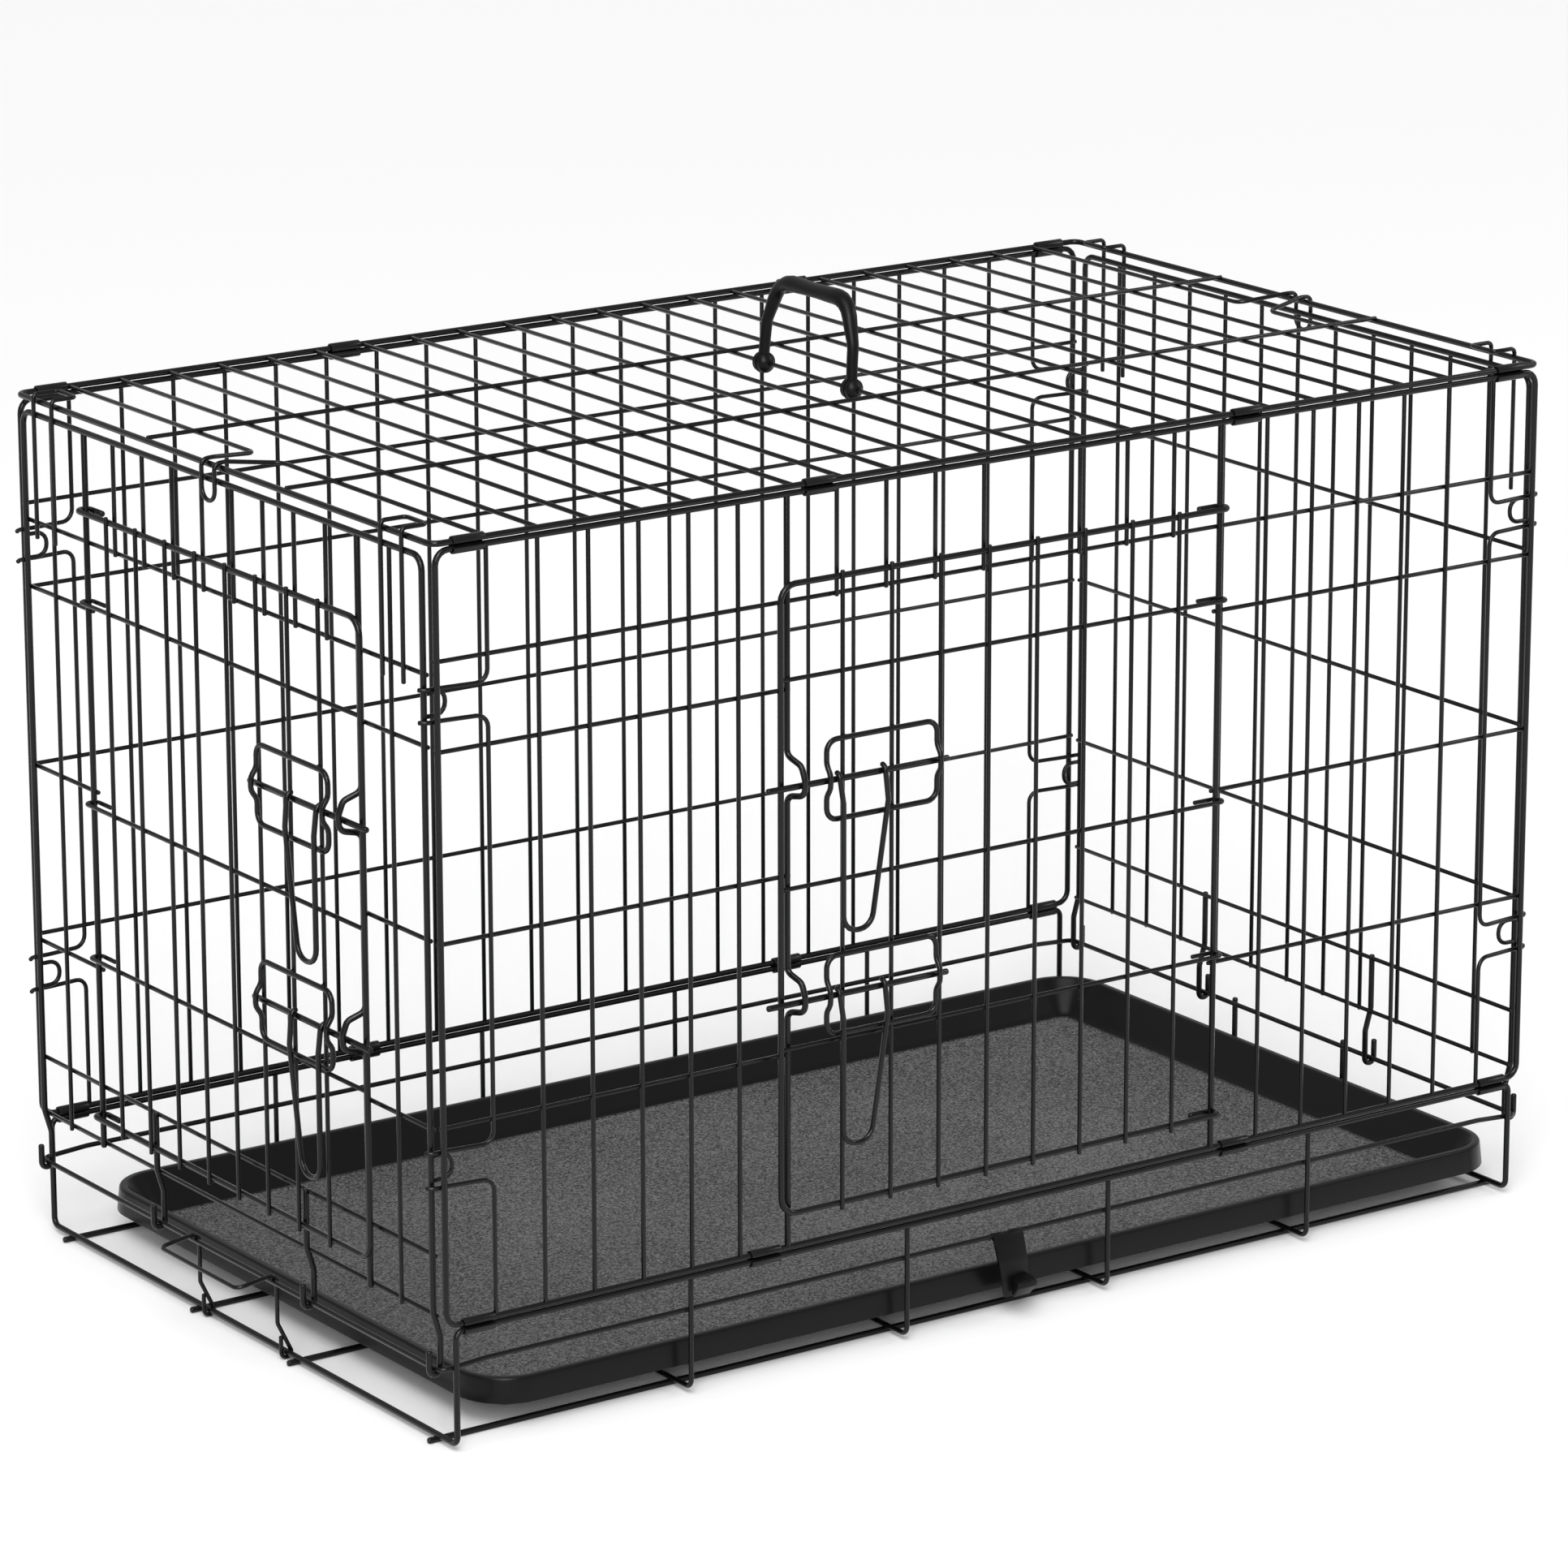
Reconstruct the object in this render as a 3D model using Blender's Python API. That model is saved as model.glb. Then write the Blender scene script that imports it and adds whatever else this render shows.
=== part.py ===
"""Folding wire dog crate: six hinged wire panels on a base, two doors with slide bolts, tray and handle.

Frame: X along the length, front long side at -Y, end door at -X, +Z up, resting on z = 0.
Lengths are in millimetres here and become metres when the points are placed.
"""
import math

import bmesh
import bpy
from mathutils import Matrix, Vector

MM = 0.001
GAP = 0.3
SINK = 0.68
ROUND_SINK = 0.85

# wire sizes
R_FRAME = 1.8
R_GRID = 1.3
R_BASE = 1.5
R_LONG = 1.8
R_GATE = 1.25

# overall frame, wire centre to wire centre
LENGTH = 764.0
DEPTH = 448.0
HEIGHT = 505.0
BASE_RISE = 66.1
BASE_LENGTH = LENGTH - 12.0
MID_RAIL = 46.0
END_SPAN = DEPTH - 17.0

# grids
SIDE_LEVELS = (183.0, 287.0, 394.0)
HEADER = 444.0
END_HEADER = 436.0
END_LEVELS = (109.0, 181.0, 288.0, 396.0)
TOP_WIRES = 22
TOP_INSET = 32.5
BACK_BAYS = 20
END_BAYS = 12
TOP_LONGS = 75.0
FLOOR_LONGS = (54.0, 203.0)
CROSS_WIRES = (72.0, 221.0)

# doorways: latch side, hinge side (position along the panel)
FRONT_DOOR = (-155.0, 147.0)
END_DOOR = (-150.5, 145.0)
DOOR_LOW = 91.0
DOOR_HIGH = 455.0
DOOR_LAP = 7.0
LATCH_HEIGHTS = (341.0, 216.0)
SLOT_HEIGHTS = (420.0, 159.5)
LATCH_SPAN = (20.5, 96.0)
LATCH_HALF = 23.0
BOLT_SPAN = (-20.0, 104.0)
PULL_LEGS = (27.0, 58.0)
PULL_LENGTH = 88.0
SLOT_GAP = 18.0
SLOT_IN = 32.0
END_SLOT_IN = 32.5
TAB_SPAN = (178.0, 199.0)
FOOT_HOOKS = 83.0

GATE_HALF = 43.0
GATE_FLAP = 26.0
GATE_DROP = 4.0
SLOT_HOOK = 8.2

# tray: a sloping wall inside a rim with a hanging skirt; it is pushed home against the right end
TRAY = (LENGTH - 32.0, DEPTH - 16.0, 24.0)
TRAY_SHIFT = 15.0
TRAY_WALL = 2.0
TRAY_SLOPE = 18.5
TRAY_RIM = 3.6
TRAY_SKIRT = 15.0
TRAY_CORNER = 32.0

# rail clip: half widths of its barrel and strap, its drop, and its tab's ends and reach
CLIP_BARREL = 3.7
CLIP_HALF = 11.0
CLIP_DROP = 38.0
CLIP_TAB = (-2.0, 12.0)
CLIP_REACH = 15.0

# carry handle
GRIP_SPAN = 89.0
GRIP_RISE = 50.0

# hinge clips: sheet, length and middle positions along each long edge
CLIP_WALL = 0.9
CLIP_LENGTH = 20.0
CORNER_CLIP = LENGTH / 2 - 20.4
CLIP_MIDDLES = {("front", "top"): (FRONT_DOOR[0] + 21.5, FRONT_DOOR[1] + 18.0),
                ("front", "low"): (FRONT_DOOR[0] - 16.0, FRONT_DOOR[1] + 17.0),
                ("back", "top"): (-162.5, 162.5), ("back", "low"): (-157.5, 157.5)}

LONG_DROP = ROUND_SINK * (R_BASE + R_LONG)
FOOT = R_LONG + LONG_DROP
RAIL_Y = DEPTH / 2
PANEL_LOW = BASE_RISE + 2 * R_FRAME + GAP
TOP_Z = HEIGHT + 2 * R_FRAME + GAP
TOP_END = LENGTH / 2 + 1.9
END_X = LENGTH / 2 + 3.0
END_RAIL_X = END_X - 0.5
END_RAIL_Z = MID_RAIL - 2.0
MID_Y = RAIL_Y - ROUND_SINK * 2 * R_BASE
GRID_IN = SINK * 2 * R_GRID
BOLT_R = 1.8
DOOR_OUT = 2 * R_FRAME + GAP
DOOR_GRID = DOOR_OUT + SINK * 2 * R_GRID
LATCH_R = 1.6
LATCH_OUT = DOOR_GRID + R_GRID + GAP + LATCH_R
BOLT_OUT = DOOR_GRID + R_GRID + GAP + BOLT_R
LATCH_HIGH = BOLT_OUT + BOLT_R + LATCH_R + GAP
PULL_OUT = LATCH_HIGH + 0.4

CENTRE_X = (LENGTH / 2 + SLOT_HOOK + R_GRID - (END_RAIL_X - R_BASE - GAP + GATE_FLAP)) / 2
CENTRE_Y = (R_FRAME + GAP + CLIP_WALL - PULL_OUT - LATCH_R) / 2


def clear_scene():
    for item in list(bpy.data.objects):
        bpy.data.objects.remove(item, do_unlink=True)


def new_collection(name):
    group = bpy.data.collections.new(name)
    bpy.context.scene.collection.children.link(group)
    return group


def material(name, colour, roughness, metallic=0.0):
    mat = bpy.data.materials.new(name)
    mat.use_nodes = True
    shader = mat.node_tree.nodes["Principled BSDF"]
    shader.inputs["Base Color"].default_value = (*colour, 1.0)
    shader.inputs["Roughness"].default_value = roughness
    shader.inputs["Metallic"].default_value = metallic
    return mat


def place(point):
    return Vector(((point[0] - CENTRE_X) * MM, (point[1] - CENTRE_Y) * MM, (point[2] + FOOT) * MM))


def fillet(points, radius, closed=False, steps=2):
    """Round the corners of a run of points with arcs of the given bend radius."""
    pts = [Vector(p) for p in points]
    out = []
    count = len(pts)
    for i, p in enumerate(pts):
        if not closed and i in (0, count - 1):
            out.append(p)
            continue
        a, b = pts[i - 1], pts[(i + 1) % count]
        u, v = (a - p), (b - p)
        lu, lv = u.length, v.length
        u.normalize()
        v.normalize()
        turn = math.pi - u.angle(v)
        if turn < 0.05:
            out.append(p)
            continue
        cut = min(radius * math.tan(turn / 2), 0.48 * lu, 0.48 * lv)
        bend = cut / math.tan(turn / 2)
        centre = p + (u + v).normalized() * (bend / math.cos(turn / 2))
        start, end = p + u * cut, p + v * cut
        axis = (start - centre).cross(end - centre).normalized()
        for k in range(steps + 1):
            spin = Matrix.Rotation(turn * k / steps, 3, axis)
            out.append(centre + spin @ (start - centre))
    return out


def wires(name, runs, radius, closed=False):
    """A mesh of round wires, one closed body for each run of points."""
    curve = bpy.data.curves.new(name, "CURVE")
    curve.dimensions = "3D"
    curve.bevel_depth = radius * MM
    curve.bevel_resolution = 0 if radius <= R_GRID else 1
    curve.use_fill_caps = True
    for run in runs:
        spline = curve.splines.new("POLY")
        spline.points.add(len(run) - 1)
        for point, target in zip(spline.points, run):
            point.co = (*place(target), 1.0)
        spline.use_cyclic_u = closed
    bent = bpy.data.objects.new(name, curve)
    bpy.context.scene.collection.objects.link(bent)
    bpy.context.view_layer.update()
    solid = bpy.data.meshes.new_from_object(bent.evaluated_get(bpy.context.evaluated_depsgraph_get()))
    made = bpy.data.objects.new(name, solid)
    made.matrix_world = bent.matrix_world
    bpy.data.objects.remove(bent, do_unlink=True)
    bm = bmesh.new()
    bm.from_mesh(solid)
    bmesh.ops.remove_doubles(bm, verts=bm.verts, dist=0.00001)
    bmesh.ops.recalc_face_normals(bm, faces=bm.faces)
    bm.to_mesh(solid)
    bm.free()
    return made


def shade(mesh):
    mesh.shade_smooth()
    mesh.set_sharp_from_angle(angle=math.radians(40))


def node(obj, name, mat):
    obj.name = name
    obj.data.name = name
    obj.data.materials.clear()
    obj.data.materials.append(mat)
    shade(obj.data)
    parts.objects.link(obj)
    return obj


def weld(name, groups, mat):
    """Join groups of crossing wires into one closed body."""
    first, rest = groups[0], groups[1:]
    node(first, name, mat)
    for i, tool in enumerate(rest):
        cutters.objects.link(tool)
        tool.name = f"{name}_wires_{i}"
        tool.hide_render = True
        tool.display_type = "WIRE"
        joint = first.modifiers.new(f"weld_{i}", "BOOLEAN")
        joint.operation = "UNION"
        joint.solver = "EXACT"
        joint.object = tool
    bpy.context.view_layer.update()
    solid = bpy.data.meshes.new_from_object(first.evaluated_get(bpy.context.evaluated_depsgraph_get()))
    solid.name = name
    first.modifiers.clear()
    first.data = solid
    shade(solid)
    for tool in rest:
        bpy.data.objects.remove(tool, do_unlink=True)
    return first


def set_origin(obj, point):
    """Move an object's origin onto its joint axis, leaving its shape where it is."""
    home = place(point)
    obj.data.transform(Matrix.Translation(-home))
    obj.matrix_world = Matrix.Translation(home)


def spread(low, high, bays):
    return [low + (high - low) * k / bays for k in range(bays + 1)]


def arc(centre, radius, start, end, steps, across):
    """Points round a circle; across names the two directions it turns in."""
    u, v = (Vector(a) for a in across)
    return [
        Vector(centre) + radius * (math.cos(t) * u + math.sin(t) * v)
        for t in (math.radians(start + (end - start) * k / steps) for k in range(steps + 1))
    ]


def frame_loop(low, high, bottom, top, at, radius=7.0):
    corners = [at(low, bottom), at(high, bottom), at(high, top), at(low, top)]
    return fillet(corners, radius, closed=True)


def keeper(s, low, high, at, z_list):
    """A doorway's upright, bent outwards where each bolt passes behind it."""
    out = BOLT_OUT + BOLT_R + R_FRAME + GAP
    run = [at(s, low, 0)]
    for z in sorted(z_list):
        run += [at(s, z - 7.5, 0), at(s + 3, z - 5.2, out), at(s + 3, z + 4, out),
                at(s + 2.5, z + 11.5, 0.8 * out), at(s, z + 16, 0)]
    return fillet(run + [at(s, high, 0)], 4.0, steps=2)


def panel_uprights(door):
    """Where a long panel's wires stand: full height ones, those over the doorway, and its two posts."""
    edge = LENGTH / 2 - SLOT_IN
    if not door:
        return spread(-edge, edge, BACK_BAYS)[1:-1], [], []
    latch, hinge = door
    full = spread(-edge, latch, 6)[1:-1] + spread(hinge, edge, 6)[1:-1]
    return full, spread(latch, hinge, 9)[1:-1], [latch, hinge]


def clear_spot(wanted, wires_at):
    """The spot nearest the wanted one where a hinge clip clears every wire, given as (place, radius)."""
    tries = (wanted + way * 0.5 * k for k in range(100) for way in (1, -1))
    return next(x for x in tries if all(abs(x - w) > CLIP_LENGTH / 2 + r + GAP for w, r in wires_at))


def long_panel(name, side, door, mat):
    """Front or back panel: slots at both ends take the end panels' edges."""
    def at(x, z, out=0.0):
        return (x, side * (RAIL_Y + out), z)

    half = LENGTH / 2
    loop = [frame_loop(-half, half, PANEL_LOW, HEIGHT, at)]
    slot_x = half - SLOT_IN
    slot_runs = []
    for s in (-1, 1):
        def slot_end(z):
            return [at(s * slot_x, z), at(s * (half - 6), z, -R_FRAME - 1.1),
                    at(s * (half + 5.2), z, -R_FRAME - 1.1), at(s * (half + SLOT_HOOK), z, -R_FRAME - 4.4)]
        up, down = SLOT_HEIGHTS
        edge = SLOT_GAP / 2
        top_run = [at(s * slot_x, HEIGHT)] + slot_end(up + edge)
        mid_run = slot_end(up - edge)[::-1] + slot_end(down + edge + 1)
        low_run = slot_end(down - edge - 1)[::-1] + [at(s * slot_x, PANEL_LOW)]
        slot_runs += [fillet(r, 6.0, steps=2) for r in (top_run, mid_run, low_run)]
    xs, heads, _ = panel_uprights(door)
    if door:
        latch, hinge = door
        uprights = [[at(x, PANEL_LOW), at(x, HEIGHT)] for x in xs]
        uprights += [[at(x, HEADER - 1.5), at(x, HEIGHT)] for x in heads]
        posts = [keeper(latch, PANEL_LOW, HEIGHT, at, LATCH_HEIGHTS),
                 [at(hinge, PANEL_LOW), at(hinge, HEIGHT)]]
        spans = [(-half - 1.5, latch + 3), (hinge - 3, half + 1.5)]
    else:
        uprights = [[at(x, PANEL_LOW), at(x, HEIGHT)] for x in xs]
        posts = []
        spans = [(-half - 1.5, half + 1.5)]
    rows = [[at(a, z, -GRID_IN), at(b, z, -GRID_IN)] for z in SIDE_LEVELS for a, b in spans]
    rows.append([at(-half - 1.5, HEADER, -GRID_IN), at(half + 1.5, HEADER, -GRID_IN)])
    groups = [wires(name, loop, R_FRAME, closed=True), wires(name, uprights + slot_runs, R_GRID)]
    if posts:
        groups.append(wires(name, posts, R_FRAME))
    groups.append(wires(name, rows, R_GRID))
    return weld(name, groups, mat)


def end_panel(name, side, door, mat):
    """An end panel hooked on the base's mid rail; it folds inwards."""
    def at(y, z, out=0.0):
        return (side * (END_X + out), y, z)

    half = END_SPAN / 2
    top = HEIGHT - 4.0
    hook_in = END_RAIL_X - END_X - R_FRAME - R_BASE - GAP
    hook_r = R_BASE + R_FRAME + GAP

    def hook(y, z_top):
        rail = (side * END_RAIL_X, y, END_RAIL_Z)
        wrap = arc(rail, hook_r, 180, 360, 5, ((side, 0, 0), (0, 0, 1)))
        return [at(y, z_top), at(y, 76.0), at(y, 62.0, hook_in)] + wrap + [
            at(y, END_RAIL_Z + 9, END_RAIL_X - END_X + hook_r)]

    edge = fillet(hook(-half, 90.0)[:0:-1] + [at(-half, top), at(half, top)] + hook(half, 90.0)[1:], 6.0)
    feet = [fillet(hook(y, 110.5), 4.0, steps=2) for y in (-FOOT_HOOKS, FOOT_HOOKS)]
    tabs = []
    for s in (-1, 1):
        over = TOP_Z + R_FRAME + R_GRID + GAP + 1.2
        clear = SINK * (R_FRAME + R_GRID)
        a, b = (s * t for t in TAB_SPAN)
        tabs.append(fillet([at(a, 428, clear), at(a, over, clear), at(a, over, -14), at(b, over, -14),
                            at(b, over, clear), at(b, 428, clear)], 2.0, steps=1))
    loops = []
    for s in (-1, 1):
        for z in SLOT_HEIGHTS:
            y = s * (half + 0.5)
            loops.append(fillet([at(y, z + 7, 0), at(y, z + 7, -13), at(y, z - 7, -13), at(y, z - 7, 0)], 6.0))
    if door:
        latch, hinge = door
        sides = [s * (half - END_SLOT_IN) for s in (-1, 1)]
        uprights = [[at(y, 72.0), at(y, top)] for y in sides]
        uprights += [[at(y, END_HEADER - 1.5), at(y, top)] for y in spread(latch, hinge, 9)[1:-1]]
        posts = [keeper(latch, 72.0, top, at, LATCH_HEIGHTS), [at(hinge, 72.0), at(hinge, top)]]
        spans = [(-half - 1.5, latch + 3), (hinge - 3, half + 1.5)]
        rows = [[at(a, z, -GRID_IN), at(b, z, -GRID_IN)] for z in END_LEVELS[1:] for a, b in spans]
        rows += [[at(-half - 1.5, z, -GRID_IN), at(half + 1.5, z, -GRID_IN)] for z in (END_LEVELS[0], END_HEADER)]
    else:
        uprights = [[at(y, 72.0), at(y, top)] for y in spread(-half, half, END_BAYS)[1:-1]]
        posts = []
        rows = [[at(-half - 1.5, z, -GRID_IN), at(half + 1.5, z, -GRID_IN)] for z in END_LEVELS]
    rows.append([at(-half - 1.5, 74.5, -GRID_IN), at(half + 1.5, 74.5, -GRID_IN)])
    groups = [wires(name, [edge] + feet + posts, R_FRAME), wires(name, uprights, R_GRID),
              wires(name, rows, R_GRID), wires(name, tabs + loops, R_GRID)]
    made = weld(name, groups, mat)
    set_origin(made, (side * END_RAIL_X, 0, END_RAIL_Z))
    return made


def top_panel(mat):
    def at(x, y, z=TOP_Z):
        return (x, y, z)

    half = LENGTH / 2 - TOP_INSET
    outer = fillet([at(-TOP_END, -RAIL_Y), at(TOP_END, -RAIL_Y), at(TOP_END, RAIL_Y), at(-TOP_END, RAIL_Y)],
                   5.0, closed=True)
    reach = RAIL_Y - R_FRAME / 2
    cross = [[at(x, -reach), at(x, reach)] for x in spread(-half, half, TOP_WIRES - 1)[1:-1]]
    for s in (-1, 1):
        hang = END_X + R_FRAME + R_GRID + 0.4
        cross.append(fillet([
            at(s * half, -reach), at(s * half, -15), at(s * (TOP_END - 3), -7, TOP_Z + 3.4),
            at(s * hang, -7, TOP_Z + 3.0), at(s * hang, -7, TOP_Z - 19), at(s * hang, 7, TOP_Z - 19),
            at(s * hang, 7, TOP_Z + 3.0), at(s * (TOP_END - 3), 7, TOP_Z + 3.4), at(s * half, 15),
            at(s * half, reach)], 4.0))
    longs = [[at(-TOP_END, y, TOP_Z + SINK * 2 * R_GRID), at(TOP_END, y, TOP_Z + SINK * 2 * R_GRID)]
             for y in (-TOP_LONGS, TOP_LONGS)]
    groups = [wires("top", [outer], R_FRAME, closed=True), wires("top", cross, R_GRID),
              wires("top", longs, R_GRID)]
    return weld("top_panel", groups, mat)


def base_frame(mat):
    half = BASE_LENGTH / 2
    lanes = [(-half, -RAIL_Y, BASE_RISE), (half, -RAIL_Y, BASE_RISE), (half, -RAIL_Y, 0), (half, RAIL_Y, 0),
             (half, RAIL_Y, BASE_RISE), (-half, RAIL_Y, BASE_RISE), (-half, RAIL_Y, 0), (-half, -RAIL_Y, 0)]
    hoop = fillet(lanes, 4.0, closed=True)
    rounds = [fillet([(x, -RAIL_Y, BASE_RISE), (x, -RAIL_Y, 0), (x, RAIL_Y, 0), (x, RAIL_Y, BASE_RISE)], 5.0)
              for c in CROSS_WIRES for x in (-c, c)]
    corners = []
    for sx, sy in ((-1, -1), (1, -1), (1, 1), (-1, 1)):
        turn = fillet([(sx * (END_RAIL_X - 30), sy * MID_Y, MID_RAIL), (sx * END_RAIL_X, sy * MID_Y, END_RAIL_Z),
                       (sx * END_RAIL_X, sy * (MID_Y - 30), END_RAIL_Z)], 4.0)
        corners += turn if sx * sy < 0 else turn[::-1]
    low = -LONG_DROP
    out = END_RAIL_X + LONG_DROP
    floor = [[(-half - 6, s * y, low), (half + 6, s * y, low)] for s in (-1, 1) for y in FLOOR_LONGS[1:]]
    floor += [fillet([(-half - 6, s * y, low), (out, s * y, low), (out, s * y, END_RAIL_Z + 3)], 6.0)
              for s in (-1, 1) for y in FLOOR_LONGS[:1]]
    groups = [wires("base", [hoop], R_FRAME, closed=True), wires("base", [corners], R_BASE, closed=True),
              wires("base", rounds, R_BASE), wires("base", floor, R_LONG)]
    return weld("base_frame", groups, mat)


def door(name, at, span, mat):
    """A door outside its doorway: its cross wires curl round the hinge post."""
    latch, hinge = span
    ring = arc((0, 0, 0), DOOR_OUT, 90, -100, 8, ((1, 0, 0), (0, 1, 0)))

    def curl(z):
        bend = [at(hinge + p.x, z, p.y) for p in ring]
        return bend + [at(hinge - 13, z, ring[-1].y)]

    left = latch - DOOR_LAP
    border = fillet([at(hinge - 2, DOOR_HIGH, DOOR_OUT), at(left, DOOR_HIGH, DOOR_OUT),
                     at(left, DOOR_LOW, DOOR_OUT), at(hinge - 2, DOOR_LOW, DOOR_OUT)], 9.0)
    outer = curl(DOOR_HIGH)[::-1] + border + curl(DOOR_LOW)
    rows = [[at(left, z, DOOR_OUT)] + curl(z) for z in (DOOR_LOW + 97, DOOR_LOW + 190, DOOR_HIGH - 54)]
    bars = [[at(s, DOOR_LOW - 4, DOOR_GRID), at(s, DOOR_HIGH + 3.5, DOOR_GRID)]
            for s in spread(latch, hinge, 9)[1:-1]]
    groups = [wires(name, [outer], R_FRAME), wires(name, rows, R_GRID), wires(name, bars, R_GRID)]
    made = weld(name, groups, mat)
    set_origin(made, at(hinge, (DOOR_LOW + DOOR_HIGH) / 2, 0))
    return made


def latch(name, at, post, z, mat):
    """Latch frame, the bolt that slides in it, and the pull that hangs from the bolt."""
    out, high = LATCH_OUT, LATCH_HIGH
    a, b = post + LATCH_SPAN[0], post + LATCH_SPAN[1]

    def side(s, flip):
        run = [at(s, z - LATCH_HALF, out), at(s, z - 9, out), at(s, z - 4, high), at(s, z + 4, high),
               at(s, z + 9, out), at(s, z + LATCH_HALF, out)]
        return run[::-1] if flip else run

    loop = fillet(side(a, False) + side(b, True), 5.0, closed=True, steps=1)
    node(wires(name, [loop], LATCH_R, closed=True), f"{name}_frame", mat)
    bolt = node(wires(name, [[at(post + BOLT_SPAN[0], z, BOLT_OUT), at(post + BOLT_SPAN[1], z, BOLT_OUT)]], BOLT_R),
                f"{name}_bolt", mat)
    set_origin(bolt, at(post + sum(BOLT_SPAN) / 2, z, BOLT_OUT))
    eye = BOLT_R + LATCH_R + GAP
    near, far = post + PULL_LEGS[0], post + PULL_LEGS[1]
    low = z - PULL_LENGTH
    drop = [at(near + 2, z - 14, PULL_OUT), at(near + 2, low, PULL_OUT), at(far - 10, low, PULL_OUT),
            at(far + 1.5, z - 16, PULL_OUT)]
    hook_a, hook_b = ([at(s, z + q.y, BOLT_OUT + q.x) for q in arc((0, 0, 0), eye, 90, 0, 4, ((1, 0, 0), (0, 1, 0)))]
                      for s in (near, far))
    pull = node(wires(name, [hook_a + fillet(drop, 9.0) + hook_b[::-1]], LATCH_R), f"{name}_pull", mat)
    set_origin(pull, at((near + far) / 2, z, BOLT_OUT))


def prism(name, outline, holes, axis_at):
    """Extrude a closed outline, with matching holes, between two stations."""
    bm = bmesh.new()
    rings = []
    for station in (0, 1):
        rings.append([[bm.verts.new(place(axis_at(p, station))) for p in loop] for loop in [outline] + holes])
    for lower, upper in zip(*rings):
        count = len(lower)
        for i in range(count):
            j = (i + 1) % count
            bm.faces.new((lower[i], lower[j], upper[j], upper[i]))
    for level in rings:
        if holes:
            outer, inner = level
            count = len(outer)
            for i in range(count):
                j = (i + 1) % count
                bm.faces.new((outer[i], outer[j], inner[j], inner[i]))
        else:
            bm.faces.new(level[0])
    bmesh.ops.recalc_face_normals(bm, faces=bm.faces)
    mesh = bpy.data.meshes.new(name)
    bm.to_mesh(mesh)
    bm.free()
    return bpy.data.objects.new(name, mesh)


def stadium(radius, half):
    """Outline round two wires, one above the other."""
    upper = [(radius * math.cos(t), half + radius * math.sin(t))
             for t in (math.radians(d) for d in range(0, 181, 45))]
    lower = [(radius * math.cos(t), -half + radius * math.sin(t))
             for t in (math.radians(d) for d in range(180, 361, 45))]
    return upper + lower


def hinge_clip(name, x, side, z_mid, mat):
    half = R_FRAME + GAP / 2
    bore = R_FRAME + GAP

    def station(p, k):
        return (x + CLIP_LENGTH * (k - 0.5), side * RAIL_Y + p[0], z_mid + p[1])

    node(prism(name, stadium(bore + CLIP_WALL, half), [stadium(bore, half)], station), name, mat)


def rounded(length, depth, radius):
    corners = []
    for sx, sy, start in ((1, 1, 0), (-1, 1, 90), (-1, -1, 180), (1, -1, 270)):
        for k in range(5):
            t = math.radians(start + 22.5 * k)
            corners.append((sx * (length / 2 - radius) + radius * math.cos(t),
                            sy * (depth / 2 - radius) + radius * math.sin(t)))
    return corners


def tray(mat):
    length, depth, high = TRAY
    floor_z = R_FRAME + GAP
    lean, edge, skin = 1.5, 0.9, 0.9 * TRAY_WALL
    inner = lean + edge + TRAY_RIM
    fall = TRAY_SLOPE / (high - TRAY_WALL)
    through = TRAY_WALL * math.hypot(1.0, fall)

    def under(z):
        return inner + fall * (high - z) - through

    levels = [(under(0.0), 0.0), (under(high - TRAY_WALL), high - TRAY_WALL), (lean + skin, high - TRAY_WALL),
              (skin, high - TRAY_SKIRT), (0.0, high - TRAY_SKIRT), (lean, high - edge), (lean + edge, high),
              (inner, high), (inner + TRAY_SLOPE, TRAY_WALL)]
    bm = bmesh.new()
    rings = [[bm.verts.new(place((x + TRAY_SHIFT, y, floor_z + z)))
              for x, y in rounded(length - 2 * inset, depth - 2 * inset, TRAY_CORNER - inset)]
             for inset, z in levels]
    for lower, upper in zip(rings, rings[1:]):
        count = len(lower)
        for i in range(count):
            j = (i + 1) % count
            bm.faces.new((lower[i], lower[j], upper[j], upper[i]))
    bm.faces.new(rings[0])
    bm.faces.new(rings[-1])
    bmesh.ops.recalc_face_normals(bm, faces=bm.faces)
    mesh = bpy.data.meshes.new("tray")
    bm.to_mesh(mesh)
    bm.free()
    node(bpy.data.objects.new("tray", mesh), "tray", mat)


def tray_gate(mat):
    """Bent wire stop for the tray: turns on the floor's end wire, laps over the end mid rail."""
    base = -BASE_LENGTH / 2
    turn = R_FRAME + R_GATE + GAP
    lean = -END_RAIL_X + R_BASE + R_GATE + GAP
    over = END_RAIL_Z + R_BASE + R_GATE + GAP + 1.0
    side_run = []
    for s in (-1, 1):
        y = s * GATE_HALF
        hook = arc((base, y, 0), turn, 180, 360, 5, ((1, 0, 0), (0, 0, 1)))
        run = [(base - turn, y, 10.0)] + hook + [(lean, y, 18.0), (lean, y, over), (lean - GATE_FLAP, y, over - GATE_DROP)]
        side_run.append(run)
    path = fillet(side_run[0] + side_run[1][::-1], 3.5)
    made = node(wires("tray_gate", [path], R_GATE), "tray_gate", mat)
    set_origin(made, (base, 0, 0))


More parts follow.
